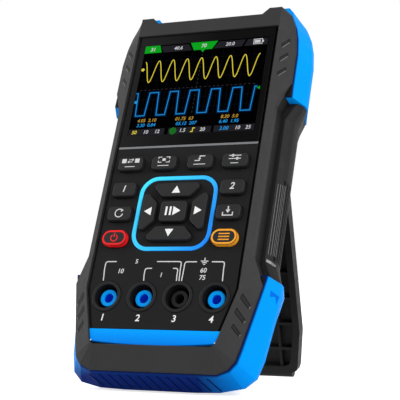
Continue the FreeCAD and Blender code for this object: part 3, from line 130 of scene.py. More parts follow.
def surface(tree, principled, gloss, grain, depth, specular, strength=0.35):
    """Uneven gloss over a range and a fine grain in the bump, depth in mm."""
    tree.links.new(spread(tree, noise(tree, GLOSS_CLOUDS), *gloss), principled.inputs["Roughness"])
    bump = tree.nodes.new("ShaderNodeBump")
    bump.inputs["Strength"].default_value = strength
    bump.inputs["Distance"].default_value = depth * MM
    tree.links.new(noise(tree, grain), bump.inputs["Height"])
    tree.links.new(bump.outputs["Normal"], principled.inputs["Normal"])
    principled.inputs["Specular IOR Level"].default_value = specular


def colour_with_emission(tree, principled, colour, strength, roughness, specular):
    """One colour for the surface and for an emission of it; on the label and inside the sockets the
    emission is painted light.
    """
    tree.links.new(colour, principled.inputs["Base Color"])
    tree.links.new(colour, principled.inputs["Emission Color"])
    principled.inputs["Emission Strength"].default_value = strength
    principled.inputs["Roughness"].default_value = roughness
    principled.inputs["Specular IOR Level"].default_value = specular


def moulded(name, colour, roughness=0.5, grain=9000.0, depth=0.02, mottle=0.12, metallic=0.0,
            specular=0.5):
    """Moulded surface: fine grain in the bump, faint clouds in the colour and the gloss."""
    material, tree, principled = shader(name)
    clouds = noise(tree, COLOUR_CLOUDS, 4.0)
    low, high = shade(colour, 1.0 - mottle), shade(colour, 1.0 + mottle)
    tree.links.new(mix(tree, clouds, low, high), principled.inputs["Base Color"])
    surface(tree, principled, (roughness - 0.04, roughness + 0.05), grain, depth, specular)
    principled.inputs["Metallic"].default_value = metallic
    return material


def lit(name, colour, strength):
    """A lit mark on the display."""
    material, tree, principled = shader(name)
    dim = shade(colour, 0.9)
    tree.links.new(mix(tree, noise(tree, 900.0), dim, colour), principled.inputs["Emission Color"])
    principled.inputs["Emission Strength"].default_value = strength
    principled.inputs["Base Color"].default_value = (0.0, 0.0, 0.0, 1.0)
    principled.inputs["Roughness"].default_value = 0.4
    principled.inputs["Specular IOR Level"].default_value = 0.0
    return material


def case_ramp(tree, axis, low, high):
    """0 to 1 along one axis of the case, from low to high in mm."""
    place = tree.nodes.new("ShaderNodeTexCoord")
    along = tree.nodes.new("ShaderNodeVectorMath")
    along.operation = "DOT_PRODUCT"
    along.inputs[1].default_value = FROM_CASE[axis][:3]
    tree.links.new(place.outputs["Object"], along.inputs[0])
    ramp = tree.nodes.new("ShaderNodeMapRange")
    ramp.inputs["From Min"].default_value = low - FROM_CASE[axis][3]
    ramp.inputs["From Max"].default_value = high - FROM_CASE[axis][3]
    tree.links.new(along.outputs["Value"], ramp.inputs["Value"])
    return ramp.outputs["Result"]


def blend(tree, first, second, share):
    """Weighted sum of two 0 to 1 values."""
    scaled = tree.nodes.new("ShaderNodeMath")
    scaled.operation = "MULTIPLY"
    scaled.inputs[1].default_value = 1.0 - share
    tree.links.new(first, scaled.inputs[0])
    total = tree.nodes.new("ShaderNodeMath")
    total.operation = "MULTIPLY_ADD"
    total.inputs[1].default_value = share
    tree.links.new(second, total.inputs[0])
    tree.links.new(scaled.outputs[0], total.inputs[2])
    return total.outputs[0]


def product(tree, first, second):
    """Product of two 0 to 1 values."""
    node = tree.nodes.new("ShaderNodeMath")
    node.operation = "MULTIPLY"
    tree.links.new(first, node.inputs[0])
    tree.links.new(second, node.inputs[1])
    return node.outputs[0]


def mix_linked(tree, factor, first, second):
    """mix() of a colour that another node makes with a plain colour."""
    node = tree.nodes.new("ShaderNodeMix")
    node.data_type = "RGBA"
    node.inputs["B"].default_value = second
    tree.links.new(first, node.inputs["A"])
    tree.links.new(factor, node.inputs["Factor"])
    return node.outputs["Result"]


def ring_blue():
    """The line round the arrow pad: cyan at its upper left, deeper blue at its lower right."""
    material, tree, principled = shader("ring_line")
    low, high = case_box("nav_ring")
    across = case_ramp(tree, 0, low.x, high.x)
    down = case_ramp(tree, 2, high.z, low.z)
    colour = mix(tree, blend(tree, across, down, 0.35), srgb(62, 214, 255), srgb(6, 112, 222))
    colour_with_emission(tree, principled, colour, 0.3, 0.35, 0.2)
    return material


def rubber_blue():
    """Blue rubber with painted shade: darker in a line along its front edge and dark underneath, from
    the middle to the left.
    """
    material, tree, principled = shader("rubber_blue")
    cloud = mix(tree, noise(tree, COLOUR_CLOUDS, 4.0), srgb(0, 142, 238), srgb(0, 153, 246))
    # painted shade on the underside of the lower bumper, deepest low down and to the left
    shade_below = product(tree, case_ramp(tree, 2, 12.5, 4.5), case_ramp(tree, 0, 40.0, 18.0))
    under = mix_linked(tree, shade_below, cloud, srgb(0, 34, 110))
    # painted shade along the rubber's front edge, where it meets the shell
    along = product(tree, case_ramp(tree, 1, 6.1, 5.3), case_ramp(tree, 2, 165.0, 158.0))
    edge = mix_linked(tree, along, under, srgb(0, 34, 100))
    tree.links.new(edge, principled.inputs["Base Color"])
    surface(tree, principled, (0.4, 0.5), 6000.0, 0.02, 0.03, 0.3)
    return material


def shell_charcoal():
    """Charcoal moulding with painted shade: darker on the walls that fall back behind the front."""
    material, tree, principled = shader("charcoal_shell")
    cloud = mix(tree, noise(tree, COLOUR_CLOUDS, 4.0), srgb(42, 42, 43), srgb(49, 49, 50))
    # painted shade: the shell more than 4.3 mm behind the front is coloured near black
    wall_shade = mix_linked(tree, case_ramp(tree, 1, 3.5, 4.3), cloud, srgb(13, 13, 14))
    tree.links.new(wall_shade, principled.inputs["Base Color"])
    surface(tree, principled, (0.5, 0.6), 7000.0, 0.03, 0.15)
    return material


def contact_blue():
    """Inside of a blue socket, in painted shade and painted light: deep blue for the shade in the bore,
    and a faint emission for the light from the bright ring round it.
    """
    material, tree, principled = shader("contact_blue")
    # painted shade: the contact deep in the bore is coloured deep blue, not brass
    colour = mix(tree, noise(tree, 300.0), srgb(2, 28, 130), srgb(4, 36, 156))
    # painted light: emission for the light from the ring round the bore
    colour_with_emission(tree, principled, colour, 0.6, 0.5, 0.1)
    return material


def glass_black():
    """Black pane with a painted reflection: soft grey over its left part."""
    material, tree, principled = shader("display_glass")
    low, high = case_box("display_window")
    # painted reflection: lighter grey towards the left of the pane
    painted_sheen = case_ramp(tree, 0, low.x + 0.6 * (high.x - low.x), low.x)
    cloud = mix(tree, noise(tree, 25.0), srgb(4, 4, 5), srgb(7, 7, 8))
    tree.links.new(mix_linked(tree, painted_sheen, cloud, srgb(30, 30, 31)), principled.inputs["Base Color"])
    principled.inputs["Roughness"].default_value = 0.18
    principled.inputs["Specular IOR Level"].default_value = 0.04
    return material


def label_blue():
    """Blue band with painted light: a painted highlight along its upper edge and a faint emission."""
    material, tree, principled = shader("label_blue")
    low, high = case_box("label_strip")
    cloud = mix(tree, noise(tree, 40.0), srgb(0, 112, 214), srgb(0, 120, 222))
    # painted highlight: lighter blue towards the upper edge
    colour = mix_linked(tree, case_ramp(tree, 2, low.z, high.z), cloud, srgb(0, 150, 240))
    # painted light: a faint emission, though the label is no lamp
    colour_with_emission(tree, principled, colour, 0.12, 0.35, 0.06)
    return material


finishes = {
    "shell": shell_charcoal(),
    "fascia": moulded("fascia_black", srgb(28, 28, 29), 0.6, 9000.0, 0.02, specular=0.06),
    "display": glass_black(),
    # painted highlight: a silver line stands in for the highlight on the bevel at the lower edge of the
    # glass
    "trim": moulded("silver_highlight_line", srgb(118, 119, 121), 0.4, 8000.0, 0.004, metallic=1.0),
    "blue_label": label_blue(),
    "ring": ring_blue(),
    "blue_rubber": rubber_blue(),
    "grip": moulded("grip_rubber", srgb(27, 27, 28), 0.6, 6500.0, 0.03, specular=0.15),
    "key": moulded("key_rubber", srgb(30, 30, 31), 0.5, 8000.0, 0.02, specular=0.16),
    "silicone": moulded("mat_silicone", srgb(90, 90, 92), 0.6),
    "spring_steel": moulded("plain_steel", srgb(170, 172, 176), 0.3, 5000.0, 0.005, metallic=1.0),
    "module": moulded("module_grey", srgb(90, 90, 95), 0.5),
    "board": moulded("board_green", srgb(20, 92, 50), 0.4),
    "chip": moulded("chip_black", srgb(30, 30, 30), 0.55),
    "fuse": moulded("fuse_ceramic", srgb(226, 224, 214), 0.4),
    "brass": moulded("dull_brass", srgb(92, 78, 48), 0.4, 5000.0, 0.004, metallic=1.0),
    "battery": moulded("foil", srgb(150, 152, 156), 0.35, 2000.0, 0.02, metallic=0.6),
    "foam": moulded("foam_grey", srgb(60, 60, 62), 0.9, 3000.0, 0.1),
    "tray": moulded("tray_black", srgb(44, 44, 46), 0.55),
    "socket_black": moulded("socket_black", srgb(22, 22, 23), 0.42, 8000.0, 0.01, specular=0.15),
    "socket_blue": moulded("socket_blue", srgb(0, 158, 250), 0.35, 8000.0, 0.008, specular=0.08),
    "nickel": moulded("nickel_plate", srgb(200, 196, 186), 0.22, 5000.0, 0.003, metallic=1.0),
    "leg": moulded("leg_black", srgb(22, 22, 23), 0.5, 6000.0, 0.03, specular=0.15),
}
# Printed inks, and flat colours for thin marks of painted light: groove and the two darker blues are
# painted shade, ledge and bar painted highlights; white also paints two glints on the label.
inks_and_painted_light = {
    "white": moulded("white_ink_and_glint", srgb(232, 232, 232), 0.5, mottle=0.04, specular=0.1),
    "grey": moulded("ink_grey", srgb(206, 206, 206), 0.5, mottle=0.05, specular=0.1),
    "red": moulded("ink_red", srgb(236, 22, 26), 0.4, mottle=0.05, specular=0.2),
    "orange": moulded("ink_orange", srgb(240, 160, 40), 0.45, mottle=0.05, specular=0.2),
    "groove": moulded("shade_dark", srgb(14, 14, 15), 0.6, 6000.0, 0.02, specular=0.1),
    "ledge": moulded("highlight_grey", srgb(92, 92, 92), 0.5, 6000.0, 0.02, specular=0.3),
    "rib_shade_blue": moulded("rib_shade_blue", srgb(0, 22, 78), 0.5, 6000.0, 0.02, specular=0.05),
    "mid_blue": moulded("groove_shade_blue", srgb(0, 100, 214), 0.5, 6000.0, 0.02, specular=0.05),
    "bar": moulded("grip_bar_highlight", srgb(112, 112, 114), 0.4, 6000.0, 0.01),
}
lights_of = {
    "yellow": lit("lit_yellow", srgb(232, 214, 66), 0.95),
    "amber": lit("lit_amber", srgb(206, 160, 60), 0.8),
    "blue": lit("lit_blue", srgb(34, 150, 226), 0.95),
    "glow": lit("lit_glow", srgb(4, 34, 74), 0.9),
    "green": lit("lit_green", srgb(16, 176, 34), 0.85),
    "white": lit("lit_white", srgb(220, 220, 222), 0.85),
    "tab": lit("lit_tab", srgb(38, 38, 44), 0.8),
    "grid": lit("lit_grid", srgb(24, 23, 30), 0.8),
    "dots": lit("lit_dots", srgb(70, 66, 66), 0.8),
    "off": lit("lit_off", srgb(4, 4, 6), 0.5),
}


# ---------------------------------------------------------------- flat shapes as closed prisms

PRINT = 0.04        # thickness of printed ink
LINE = 0.42         # width of printed lines
SIDES = ((-1, "left"), (1, "right"))


class Drawing:
    """Flat closed shapes in x and z, turned into thin prisms that face the front."""

    def __init__(self):
        self.shapes = []

    def polygon(self, points):
        self.shapes.append([Vector(p) for p in points])

    def ribbon(self, points, width, closed=False):
        """A mitred line of a given width, made of four-sided pieces, open or closed in a loop."""
        points = [Vector(p) for p in points]
        count = len(points)
        offsets = []
        for index in range(count):
            before = points[index - 1] if index or closed else None
            after = points[(index + 1) % count] if index < count - 1 or closed else None
            ways = [(b - a).normalized() for a, b in ((before, points[index]), (points[index], after))
                    if a is not None and b is not None]
            sides = [Vector((-w.y, w.x)) for w in ways]
            normal = sum(sides, Vector((0.0, 0.0))).normalized()
            stretch = min(2.5, 1.0 / max(0.2, normal.dot(sides[0])))
            offsets.append(normal * stretch * width / 2)
        left = [p + o for p, o in zip(points, offsets)]
        right = [p - o for p, o in zip(points, offsets)]
        last = count if closed else count - 1
        for index in range(last):
            other = (index + 1) % count
            self.shapes.append([right[index], right[other], left[other], left[index]])

    def disc(self, x, z, radius, count=20):
        self.polygon(arc(x, z, radius, 0.0, 360.0, count)[:-1])

    def box(self, x, z, wide, tall):
        self.polygon([(x - wide / 2, z - tall / 2), (x + wide / 2, z - tall / 2),
                      (x + wide / 2, z + tall / 2), (x - wide / 2, z + tall / 2)])

    def make(self, name, front, thick, material, body):
        """One object whose prisms reach from y = front back to y = front + thick."""
        shapes = [[Vector((p.x, front, p.y)) for p in shape] for shape in self.shapes]
        return prisms(name, shapes, (0.0, thick, 0.0), material, body)


def prisms(name, shapes, lift, material, body):
    """Closed prisms from outlines in the case's frame, thickened by the vector lift."""
    mesh = bpy.data.meshes.new(name)
    shell = bmesh.new()
    for shape in shapes:
        face = shell.faces.new([shell.verts.new(p) for p in shape])
        made = bmesh.ops.extrude_face_region(shell, geom=[face], use_keep_orig=True)
        moved = [g for g in made["geom"] if isinstance(g, bmesh.types.BMVert)]
        bmesh.ops.translate(shell, vec=lift, verts=moved)
    bmesh.ops.recalc_face_normals(shell, faces=shell.faces)
    bmesh.ops.transform(shell, matrix=CASE, verts=shell.verts)
    shell.to_mesh(mesh)
    shell.free()
    piece = bpy.data.objects.new(name, mesh)
    bpy.context.scene.collection.objects.link(piece)
    mesh.materials.append(material)
    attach(piece, body)
    return piece


def arc(x, z, radius, start, end, count=12):
    """Points along a circular arc, angles in degrees from the right, turning left."""
    steps = [math.radians(start + (end - start) * i / count) for i in range(count + 1)]
    return [(x + radius * math.cos(a), z + radius * math.sin(a)) for a in steps]


FONT_SHARE = 1.38       # font size over the height of its figures
FONT_WEIGHT = 0.02      # how much its lines are thickened, as share of that height


def numeral(name, text, x, z, tall, front, material, body, slant=0.0):
    """Plain numbers, centred on x, z."""
    curve = bpy.data.curves.new(name, "FONT")
    curve.body = text
    curve.size = tall * FONT_SHARE
    curve.align_x = "CENTER"
    curve.align_y = "CENTER"
    curve.extrude = PRINT / 2
    curve.offset = FONT_WEIGHT * tall
    curve.shear = slant
    curve.resolution_u = 3
    holder = bpy.data.objects.new(name, curve)
    bpy.context.scene.collection.objects.link(holder)
    bpy.context.view_layer.update()
    evaluated = holder.evaluated_get(bpy.context.evaluated_depsgraph_get())
    mesh = bpy.data.meshes.new_from_object(evaluated)
    bpy.data.objects.remove(holder)
    upright = Matrix(((1, 0, 0, x), (0, 0, -1, front + PRINT / 2), (0, 1, 0, z), (0, 0, 0, 1)))
    mesh.transform(CASE @ upright)
    mesh.materials.clear()
    mesh.materials.append(material)
    piece = bpy.data.objects.new(name, mesh)
    bpy.context.scene.collection.objects.link(piece)
    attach(piece, body)
    return piece


# ---------------------------------------------------------------- finishes on the CAD solids

WELD_REACH = 0.00002        # metres between corners that are one corner
EDGE_ANGLE = 28.0           # degrees from which an edge counts as hard


def dress(node, material, bevel):
    """Gives a CAD node its material and softens its hard edges."""
    piece = nodes[node]
    piece.data.materials.clear()
    piece.data.materials.append(material)
    weld = piece.modifiers.new("weld", "WELD")
    weld.merge_threshold = WELD_REACH
    soften = piece.modifiers.new("soften", "BEVEL")
    soften.width = bevel * MM
    soften.segments = 2
    soften.limit_method = "ANGLE"
    soften.angle_limit = math.radians(EDGE_ANGLE)
    for polygon in piece.data.polygons:
        polygon.use_smooth = False


# Width in mm of the softened edges of each slot, and of all the others.
BEVELS = {"shell": 0.35, "blue_rubber": 0.45, "grip": 0.25, "key": 0.18, "leg": 0.3, "fascia": 0.12,
          "trim": 0.1, "blue_label": 0.25, "ring": 0.2, "socket_blue": 0.25, "socket_black": 0.25,
          "nickel": 0.12}
PLAIN_BEVEL = 0.1
slot_of = {entry["node"]: entry["material_slot"] for entry in frame["record"]["subparts"]}
for node_name in nodes:
    slot_name = slot_of[node_name]
    dress(node_name, finishes[slot_name], BEVELS.get(slot_name, PLAIN_BEVEL))
# Painted shade: the contacts deep in the socket bores are coloured near black in the black sockets and
# deep blue in the blue ones, not brass.
bore_shade = {"socket_blue": contact_blue(), "socket_black": inks_and_painted_light["groove"]}
for number in range(1, len(socket_mounts) + 1):
    look = bore_shade[slot_of[f"socket_insert_{number}"]]
    nodes[f"socket_contact_{number}"].data.materials[0] = look


# ---------------------------------------------------------------- picture on the display

VIEW = (-28.8, 28.8, 107.2, 152.2)      # left, right, low and high edge of the lit picture
GRID_MIDDLE = (-0.6, 129.5)             # crossing of the two dotted lines
GRID_STEP, GRID_LINE = 4.8, 0.12        # pitch and width of the plain grid lines
GRID_WIDE, GRID_TALL, GRID_CENTRE = 54.5, 31.0, 131.5
DOT_STEP, DOT_LONG, DOT_WIDE = 2.0, 0.7, 0.2

WAVE_START, WAVE_LONG, WAVE_STEPS = -27.0, 53.3, 180
SINE_MIDDLE, SINE_REACH, SINE_PERIOD, SINE_SHIFT = 138.65, 5.35, 6.67, 0.5
SQUARE_HIGH, SQUARE_LOW, SQUARE_SLANT = 128.0, 116.8, 0.35
SQUARE_ENDS = (-28.6, 27.2)
SQUARE_EDGES = (-27.3, -22.4, -17.5, -12.8, -8.2, -3.5, 1.4, 6.3, 11.0, 16.0, 20.8, 25.8)
SINE_LINE, SQUARE_LINE, GLOW_LINE = 0.38, 0.36, 1.5


def line_of(points, width, name, ink, body="case", front=-PRINT, thick=PRINT, closed=False):
    """One ribbon as an object of its own."""
    drawing = Drawing()
    drawing.ribbon(points, width, closed)
    return drawing.make(name, front, thick, ink, body)


def screen():
    """The lit picture: a dark field, its grid, the two traces and the readings."""
    left, right, low, high = VIEW
    back = Drawing()
    back.box((left + right) / 2, (low + high) / 2, right - left, high - low)
    back.make("screen_back", -PRINT / 4, PRINT / 4, lights_of["off"], "case")
    grid, dots = Drawing(), Drawing()
    x, z = GRID_MIDDLE
    for step in range(-5, 6):
        grid.box(x + step * GRID_STEP, GRID_CENTRE, GRID_LINE, GRID_TALL)
    for step in range(-2, 4):
        grid.box(x, z + step * GRID_STEP, GRID_WIDE, GRID_LINE)
    for step in range(-13, 14):
        dots.box(x + step * DOT_STEP, z, DOT_LONG, DOT_WIDE)
    for step in range(-6, 9):
        dots.box(x, z + step * DOT_STEP, DOT_WIDE, DOT_LONG)
    grid.make("screen_grid", -PRINT / 2, PRINT / 4, lights_of["grid"], "case")
    dots.make("screen_dots", -0.75 * PRINT, PRINT / 4, lights_of["dots"], "case")
    waves()
    screen_tabs()
    screen_numbers()


def waves():
    """A sine above a square wave with a faint glow round it."""
    places = [WAVE_START + WAVE_LONG * i / WAVE_STEPS for i in range(WAVE_STEPS + 1)]
    sine = [(x, SINE_MIDDLE + SINE_REACH * math.cos(2.0 * math.pi * (x + SINE_SHIFT) / SINE_PERIOD))
            for x in places]
    line_of(sine, SINE_LINE, "trace_sine", lights_of["yellow"], front=-2.0 * PRINT)
    square = [(SQUARE_ENDS[0], SQUARE_HIGH)]
    levels = (SQUARE_HIGH, SQUARE_LOW)
    for x in SQUARE_EDGES:
        square += [(x - SQUARE_SLANT, levels[0]), (x + SQUARE_SLANT, levels[1])]
        levels = levels[::-1]
    square.append((SQUARE_ENDS[1], SQUARE_HIGH))
    line_of(square, GLOW_LINE, "trace_glow", lights_of["glow"])
    line_of(square, SQUARE_LINE, "trace_square", lights_of["blue"], front=-2.0 * PRINT)


# x of each grey tab in the top row: lower left, lower right, upper right, upper left.
TOP_TABS = ((-19.6, -5.9, -7.9, -21.0), (4.2, 17.2, 18.6, 6.4), (18.2, 28.6, 28.6, 19.6))
TOP_TAB_LOW, TOP_TAB_HIGH = 148.3, 151.6
LOW_TABS = ((-28.6, -11.8), (-10.0, 9.5), (10.7, 28.6))     # left and right end of each
LOW_TAB_Z, LOW_TAB_TALL = 108.75, 3.0
GREEN_MARKS = (
    [(-28.7, 148.4), (-20.4, 148.4), (-21.7, 152.1), (-28.7, 152.1)],
    [(-5.0, 148.2), (3.5, 148.2), (5.7, 152.1), (-7.0, 152.1)],
    [(-0.7, 146.9), (0.3, 148.2), (-1.7, 148.2)],
    [(26.9, 127.3), (28.4, 126.5), (28.4, 128.1)])
GREEN_DISC = (-7.8, 108.7, 1.6)                             # x, z and radius
BATTERY = [(22.4, 149.0), (26.2, 149.0), (26.2, 151.3), (22.4, 151.3)]
BATTERY_FILLED = ((26.6, 150.15, 0.5, 1.1), (24.1, 150.15, 2.6, 1.4))
STEP_MARK = [(0.2, 107.9), (1.2, 107.9), (1.2, 109.6), (2.2, 109.6)]
YELLOW_DOT, BLUE_DOT = (-27.8, 140.0, 0.75), (-28.0, 123.7, 0.75)


def screen_tabs():
    """The tabs along the top and the bottom of the picture, and the small marks among them."""
    grey, green, white, yellow, blue = (Drawing() for _ in range(5))
    for low_left, low_right, high_right, high_left in TOP_TABS:
        grey.polygon([(low_left, TOP_TAB_LOW), (low_right, TOP_TAB_LOW),
                      (high_right, TOP_TAB_HIGH), (high_left, TOP_TAB_HIGH)])
    for left, right in LOW_TABS:
        grey.box((left + right) / 2, LOW_TAB_Z, right - left, LOW_TAB_TALL)
    for points in GREEN_MARKS:
        green.polygon(points)
    green.disc(*GREEN_DISC)
    white.ribbon(BATTERY, 0.3, closed=True)
    for place in BATTERY_FILLED:
        white.box(*place)
    yellow.disc(*YELLOW_DOT)
    yellow.ribbon(STEP_MARK, 0.4)
    blue.disc(*BLUE_DOT)
    grey.make("tabs_grey", -PRINT, PRINT / 2, lights_of["tab"], "case")
    green.make("tabs_green", -PRINT, PRINT / 2, lights_of["green"], "case")
    white.make("battery_mark", -2.0 * PRINT, PRINT, lights_of["white"], "case")
    yellow.make("marker_yellow", -2.0 * PRINT, PRINT, lights_of["yellow"], "case")
    blue.make("marker_blue", -2.0 * PRINT, PRINT, lights_of["blue"], "case")


# Text, x, z, height and ink of each reading.
READINGS = (
    ("4.05  2.10", -21.0, 114.3, 1.6, "amber"), ("01.75  63", -3.6, 114.3, 1.6, "amber"),
    ("8.20  5.0", 16.8, 114.3, 1.6, "amber"), ("3.30  0.84", -21.0, 112.0, 1.6, "blue"),
    ("05.12  207", -2.4, 112.0, 1.6, "blue"), ("6.40  1.95", 16.9, 112.0, 1.6, "blue"),
    ("20.0", 11.6, 149.9, 1.7, "white"), ("40.6", -12.6, 149.9, 1.7, "white"),
    ("70", -0.6, 150.1, 1.8, "white"), ("31", -24.8, 150.1, 1.8, "white"),
    ("50", -25.9, 108.7, 1.7, "yellow"), ("10", -20.5, 108.7, 1.7, "white"),
    ("12", -15.2, 108.7, 1.7, "white"), ("1.5", -3.5, 108.7, 1.7, "white"),
    ("20", 5.6, 108.7, 1.7, "white"), ("3.00", 15.2, 108.7, 1.7, "blue"),
    ("10", 21.2, 108.7, 1.7, "white"), ("25", 25.9, 108.7, 1.7, "white"))


def screen_numbers():
    """Plain numbers where the display shows its readings."""
    for index, (text, x, z, tall, ink) in enumerate(READINGS):
        numeral(f"reading_{index + 1}", text, x, z, tall, -2.0 * PRINT, lights_of[ink], "case", 0.15)


# ---------------------------------------------------------------- print on the fascia

def bracket(drawing, side, foot, shoulder, top, end):
    """A bracket line that rises beside a socket and turns over its top, side -1 left, 1 right."""
    corner = 0.9
    drawing.ribbon([foot, shoulder, (shoulder[0], top - corner),
                    (shoulder[0] - side * 0.28 * corner, top - 0.28 * corner),
                    (shoulder[0] - side * corner, top), (end, top)], LINE)


# Side, foot, shoulder, height of the top line and where it ends, for each bracket.
BRACKETS = ((-1, (-26.1, 41.2), (-26.6, 46.0), 49.4, -21.8), (1, (7.2, 41.2), (6.9, 46.0), 49.4, -3.8),
            (-1, (-8.1, 41.2), (-8.4, 43.5), 46.5, -5.5), (1, (6.1, 41.2), (5.9, 43.5), 46.5, 3.7),
            (-1, (8.3, 41.2), (8.4, 46.0), 49.3, 13.5), (1, (25.5, 41.2), (25.2, 46.0), 49.3, 19.8))
EARTH_X, EARTH_TOP = 16.7, 51.0
EARTH_BARS = ((3.2, 49.6), (2.0, 48.9), (0.9, 48.2))        # width and height on the face
RANGES = (("10", -19.2, 45.2, 2.0), ("1", -1.0, 43.6, 1.9), ("5", -12.8, 49.4, 1.9),
          ("60", 16.8, 45.6, 2.0), ("75", 16.8, 42.6, 2.0))    # text, x, z and height
SOCKET_NUMBER_Z, SOCKET_NUMBER_TALL = 25.5, 2.8
LABEL_GLINT = (26.4, 16.2, 0.3)                               # x, z and radius of the painted glints on the label
FACE_SLANT = 0.1


def fascia_print():
    """Brackets, the earth sign and plain numbers round the sockets, and two painted glints on the label.
    """
    lines = Drawing()
    for side, foot, shoulder, top, end in BRACKETS:
        bracket(lines, side, foot, shoulder, top, end)
    lines.ribbon([(EARTH_X, EARTH_TOP), (EARTH_X, EARTH_BARS[0][1])], 0.4)
    for wide, z in EARTH_BARS:
        lines.box(EARTH_X, z, wide, 0.36)
    lines.make("fascia_lines", -PRINT, PRINT, inks_and_painted_light["grey"], "case")
    for index, (text, x, z, tall) in enumerate(RANGES):
        numeral(f"range_{index + 1}", text, x, z, tall, -PRINT, inks_and_painted_light["grey"], "case", FACE_SLANT)
    for mount in socket_mounts:
        number = mount["name"][-1]
        x = (FROM_CASE @ Vector(mount["pos_m"])).x
        numeral(f"socket_number_{number}", number, x, SOCKET_NUMBER_Z, SOCKET_NUMBER_TALL, -PRINT,
                inks_and_painted_light["white"], "case", FACE_SLANT)
    # painted highlights: two white glints on the blue label
    dots = Drawing()
    x, z, radius = LABEL_GLINT
    for way, _ in SIDES:
        dots.disc(way * x, z, radius, 12)
    dots.make("label_glints", -PRINT, PRINT, inks_and_painted_light["white"], "case")


# ---------------------------------------------------------------- marks on the keys

def key_face(node):
    """Middle of a key's face and its front, in the case's frame."""
    low, high = case_box(node)
    middle = (low + high) / 2
    return middle.x, middle.z, low.y


def triangle(drawing, x, z, long, wide, way):
    """An arrowhead pointing up, down, left or right."""
    ahead = {"up": (0, 1), "down": (0, -1), "left": (-1, 0), "right": (1, 0)}[way]
    a = Vector(ahead)
    b = Vector((-a.y, a.x))
    middle = Vector((x, z))
    drawing.polygon([middle + a * long / 2, middle - a * long / 2 + b * wide / 2,
                     middle - a * long / 2 - b * wide / 2])


# Each icon draws into d round the middle of its key, x and z.

def icon_move(d, x, z):
    for way in (-1, 1):
        d.box(x + way * 3.0, z + 1.2, 2.0, 1.9)
        triangle(d, x + way * 1.1, z + 1.2 + way * 0.5, 0.9, 1.1, "right" if way > 0 else "left")
        d.box(x - way * 0.1, z + 1.2 + way * 0.5, 1.6, 0.28)
    d.box(x, z - 1.5, 4.6, 0.3)


def icon_select(d, x, z):
    for way in (-1, 1):
        for up in (-1, 1):
            d.ribbon([(x + way * 1.0, z + 1.2 + up * 1.2), (x + way * 2.5, z + 1.2 + up * 1.2),
                      (x + way * 2.5, z + 1.2 + up * 0.4)], 0.32)
    d.box(x, z + 1.2, 1.4, 1.1)
    d.box(x, z - 1.5, 5.0, 0.3)


def icon_trigger(d, x, z):
    d.ribbon([(x - 2.3, z + 0.2), (x - 0.2, z + 0.2), (x - 0.2, z + 2.2), (x + 2.1, z + 2.2)], 0.38)
    triangle(d, x - 0.2, z + 1.4, 1.0, 1.3, "up")
    d.box(x, z - 1.5, 5.2, 0.3)


def icon_parameter(d, x, z):
    for up, way in ((1.9, -1.0), (0.5, 1.0)):
        d.box(x, z + up, 5.2, 0.32)
        d.disc(x + way, z + up, 0.65, 14)
    d.box(x, z - 1.5, 3.4, 0.3)


def icon_auto(d, x, z):
    d.ribbon(arc(x, z, 1.75, 60.0, 350.0, 22), 0.42)
    triangle(d, x + 1.35, z + 1.25, 1.2, 1.5, "right")


def icon_save(d, x, z):
    d.ribbon([(x - 2.1, z - 0.4), (x - 2.1, z - 1.8), (x + 2.1, z - 1.8), (x + 2.1, z - 0.4)], 0.42)
    d.box(x, z + 1.2, 0.5, 1.8)
    triangle(d, x, z - 0.1, 1.5, 2.0, "down")


def icon_power(d, x, z):
    d.ribbon(arc(x, z - 0.1, 1.45, 125.0, 415.0, 22), 0.42)
    d.box(x, z + 1.15, 0.45, 1.7)


def icon_menu(d, x, z):
    for up in (-1.25, 0.0, 1.25):
        d.box(x, z + up, 4.6, 0.48)


def icon_run(d, x, z):
    d.polygon([(x - 3.2, z - 1.9), (x - 2.4, z - 1.9), (x - 2.4, z + 1.9), (x - 3.2, z + 1.9)])
    d.polygon([(x - 1.4, z - 1.9), (x - 0.6, z - 1.9), (x - 0.6, z + 1.9), (x - 1.4, z + 1.9)])
    triangle(d, x + 1.8, z, 3.3, 4.0, "right")


def arrow_icon(way):
    return lambda d, x, z: triangle(d, x, z, 3.2, 3.7, way)


KEY_MARKS = {
    "key_move": (icon_move, "grey"), "key_select": (icon_select, "grey"),
    "key_trigger": (icon_trigger, "grey"), "key_parameter": (icon_parameter, "grey"),
    "key_auto": (icon_auto, "grey"), "key_save": (icon_save, "grey"),
    "key_power": (icon_power, "red"), "key_menu": (icon_menu, "orange"),
    "key_run": (icon_run, "white"), "key_up": (arrow_icon("up"), "white"),
    "key_down": (arrow_icon("down"), "white"), "key_left": (arrow_icon("left"), "white"),
    "key_right": (arrow_icon("right"), "white"),
}
RIMS = {"key_power": "red", "key_menu": "orange"}
KEY_CAP = (10.8, 6.5)           # width and height of the part of a key that stands out of the fascia
RIM_INSET, RIM_LINE, SIDE_LINE = 0.45, 0.7, 0.34
SIDE_START, SIDE_DEEP = 0.4, 1.7


def stadium(x, z, half_wide, half_tall, radius, count=8):
    """Outline of a box with rounded corners, turning left from its lower right corner."""
    points = []
    for way, up, start in ((1, -1, 270.0), (1, 1, 0.0), (-1, 1, 90.0), (-1, -1, 180.0)):
        points += arc(x + way * (half_wide - radius), z + up * (half_tall - radius), radius, start,
                      start + 90.0, count)
    return points


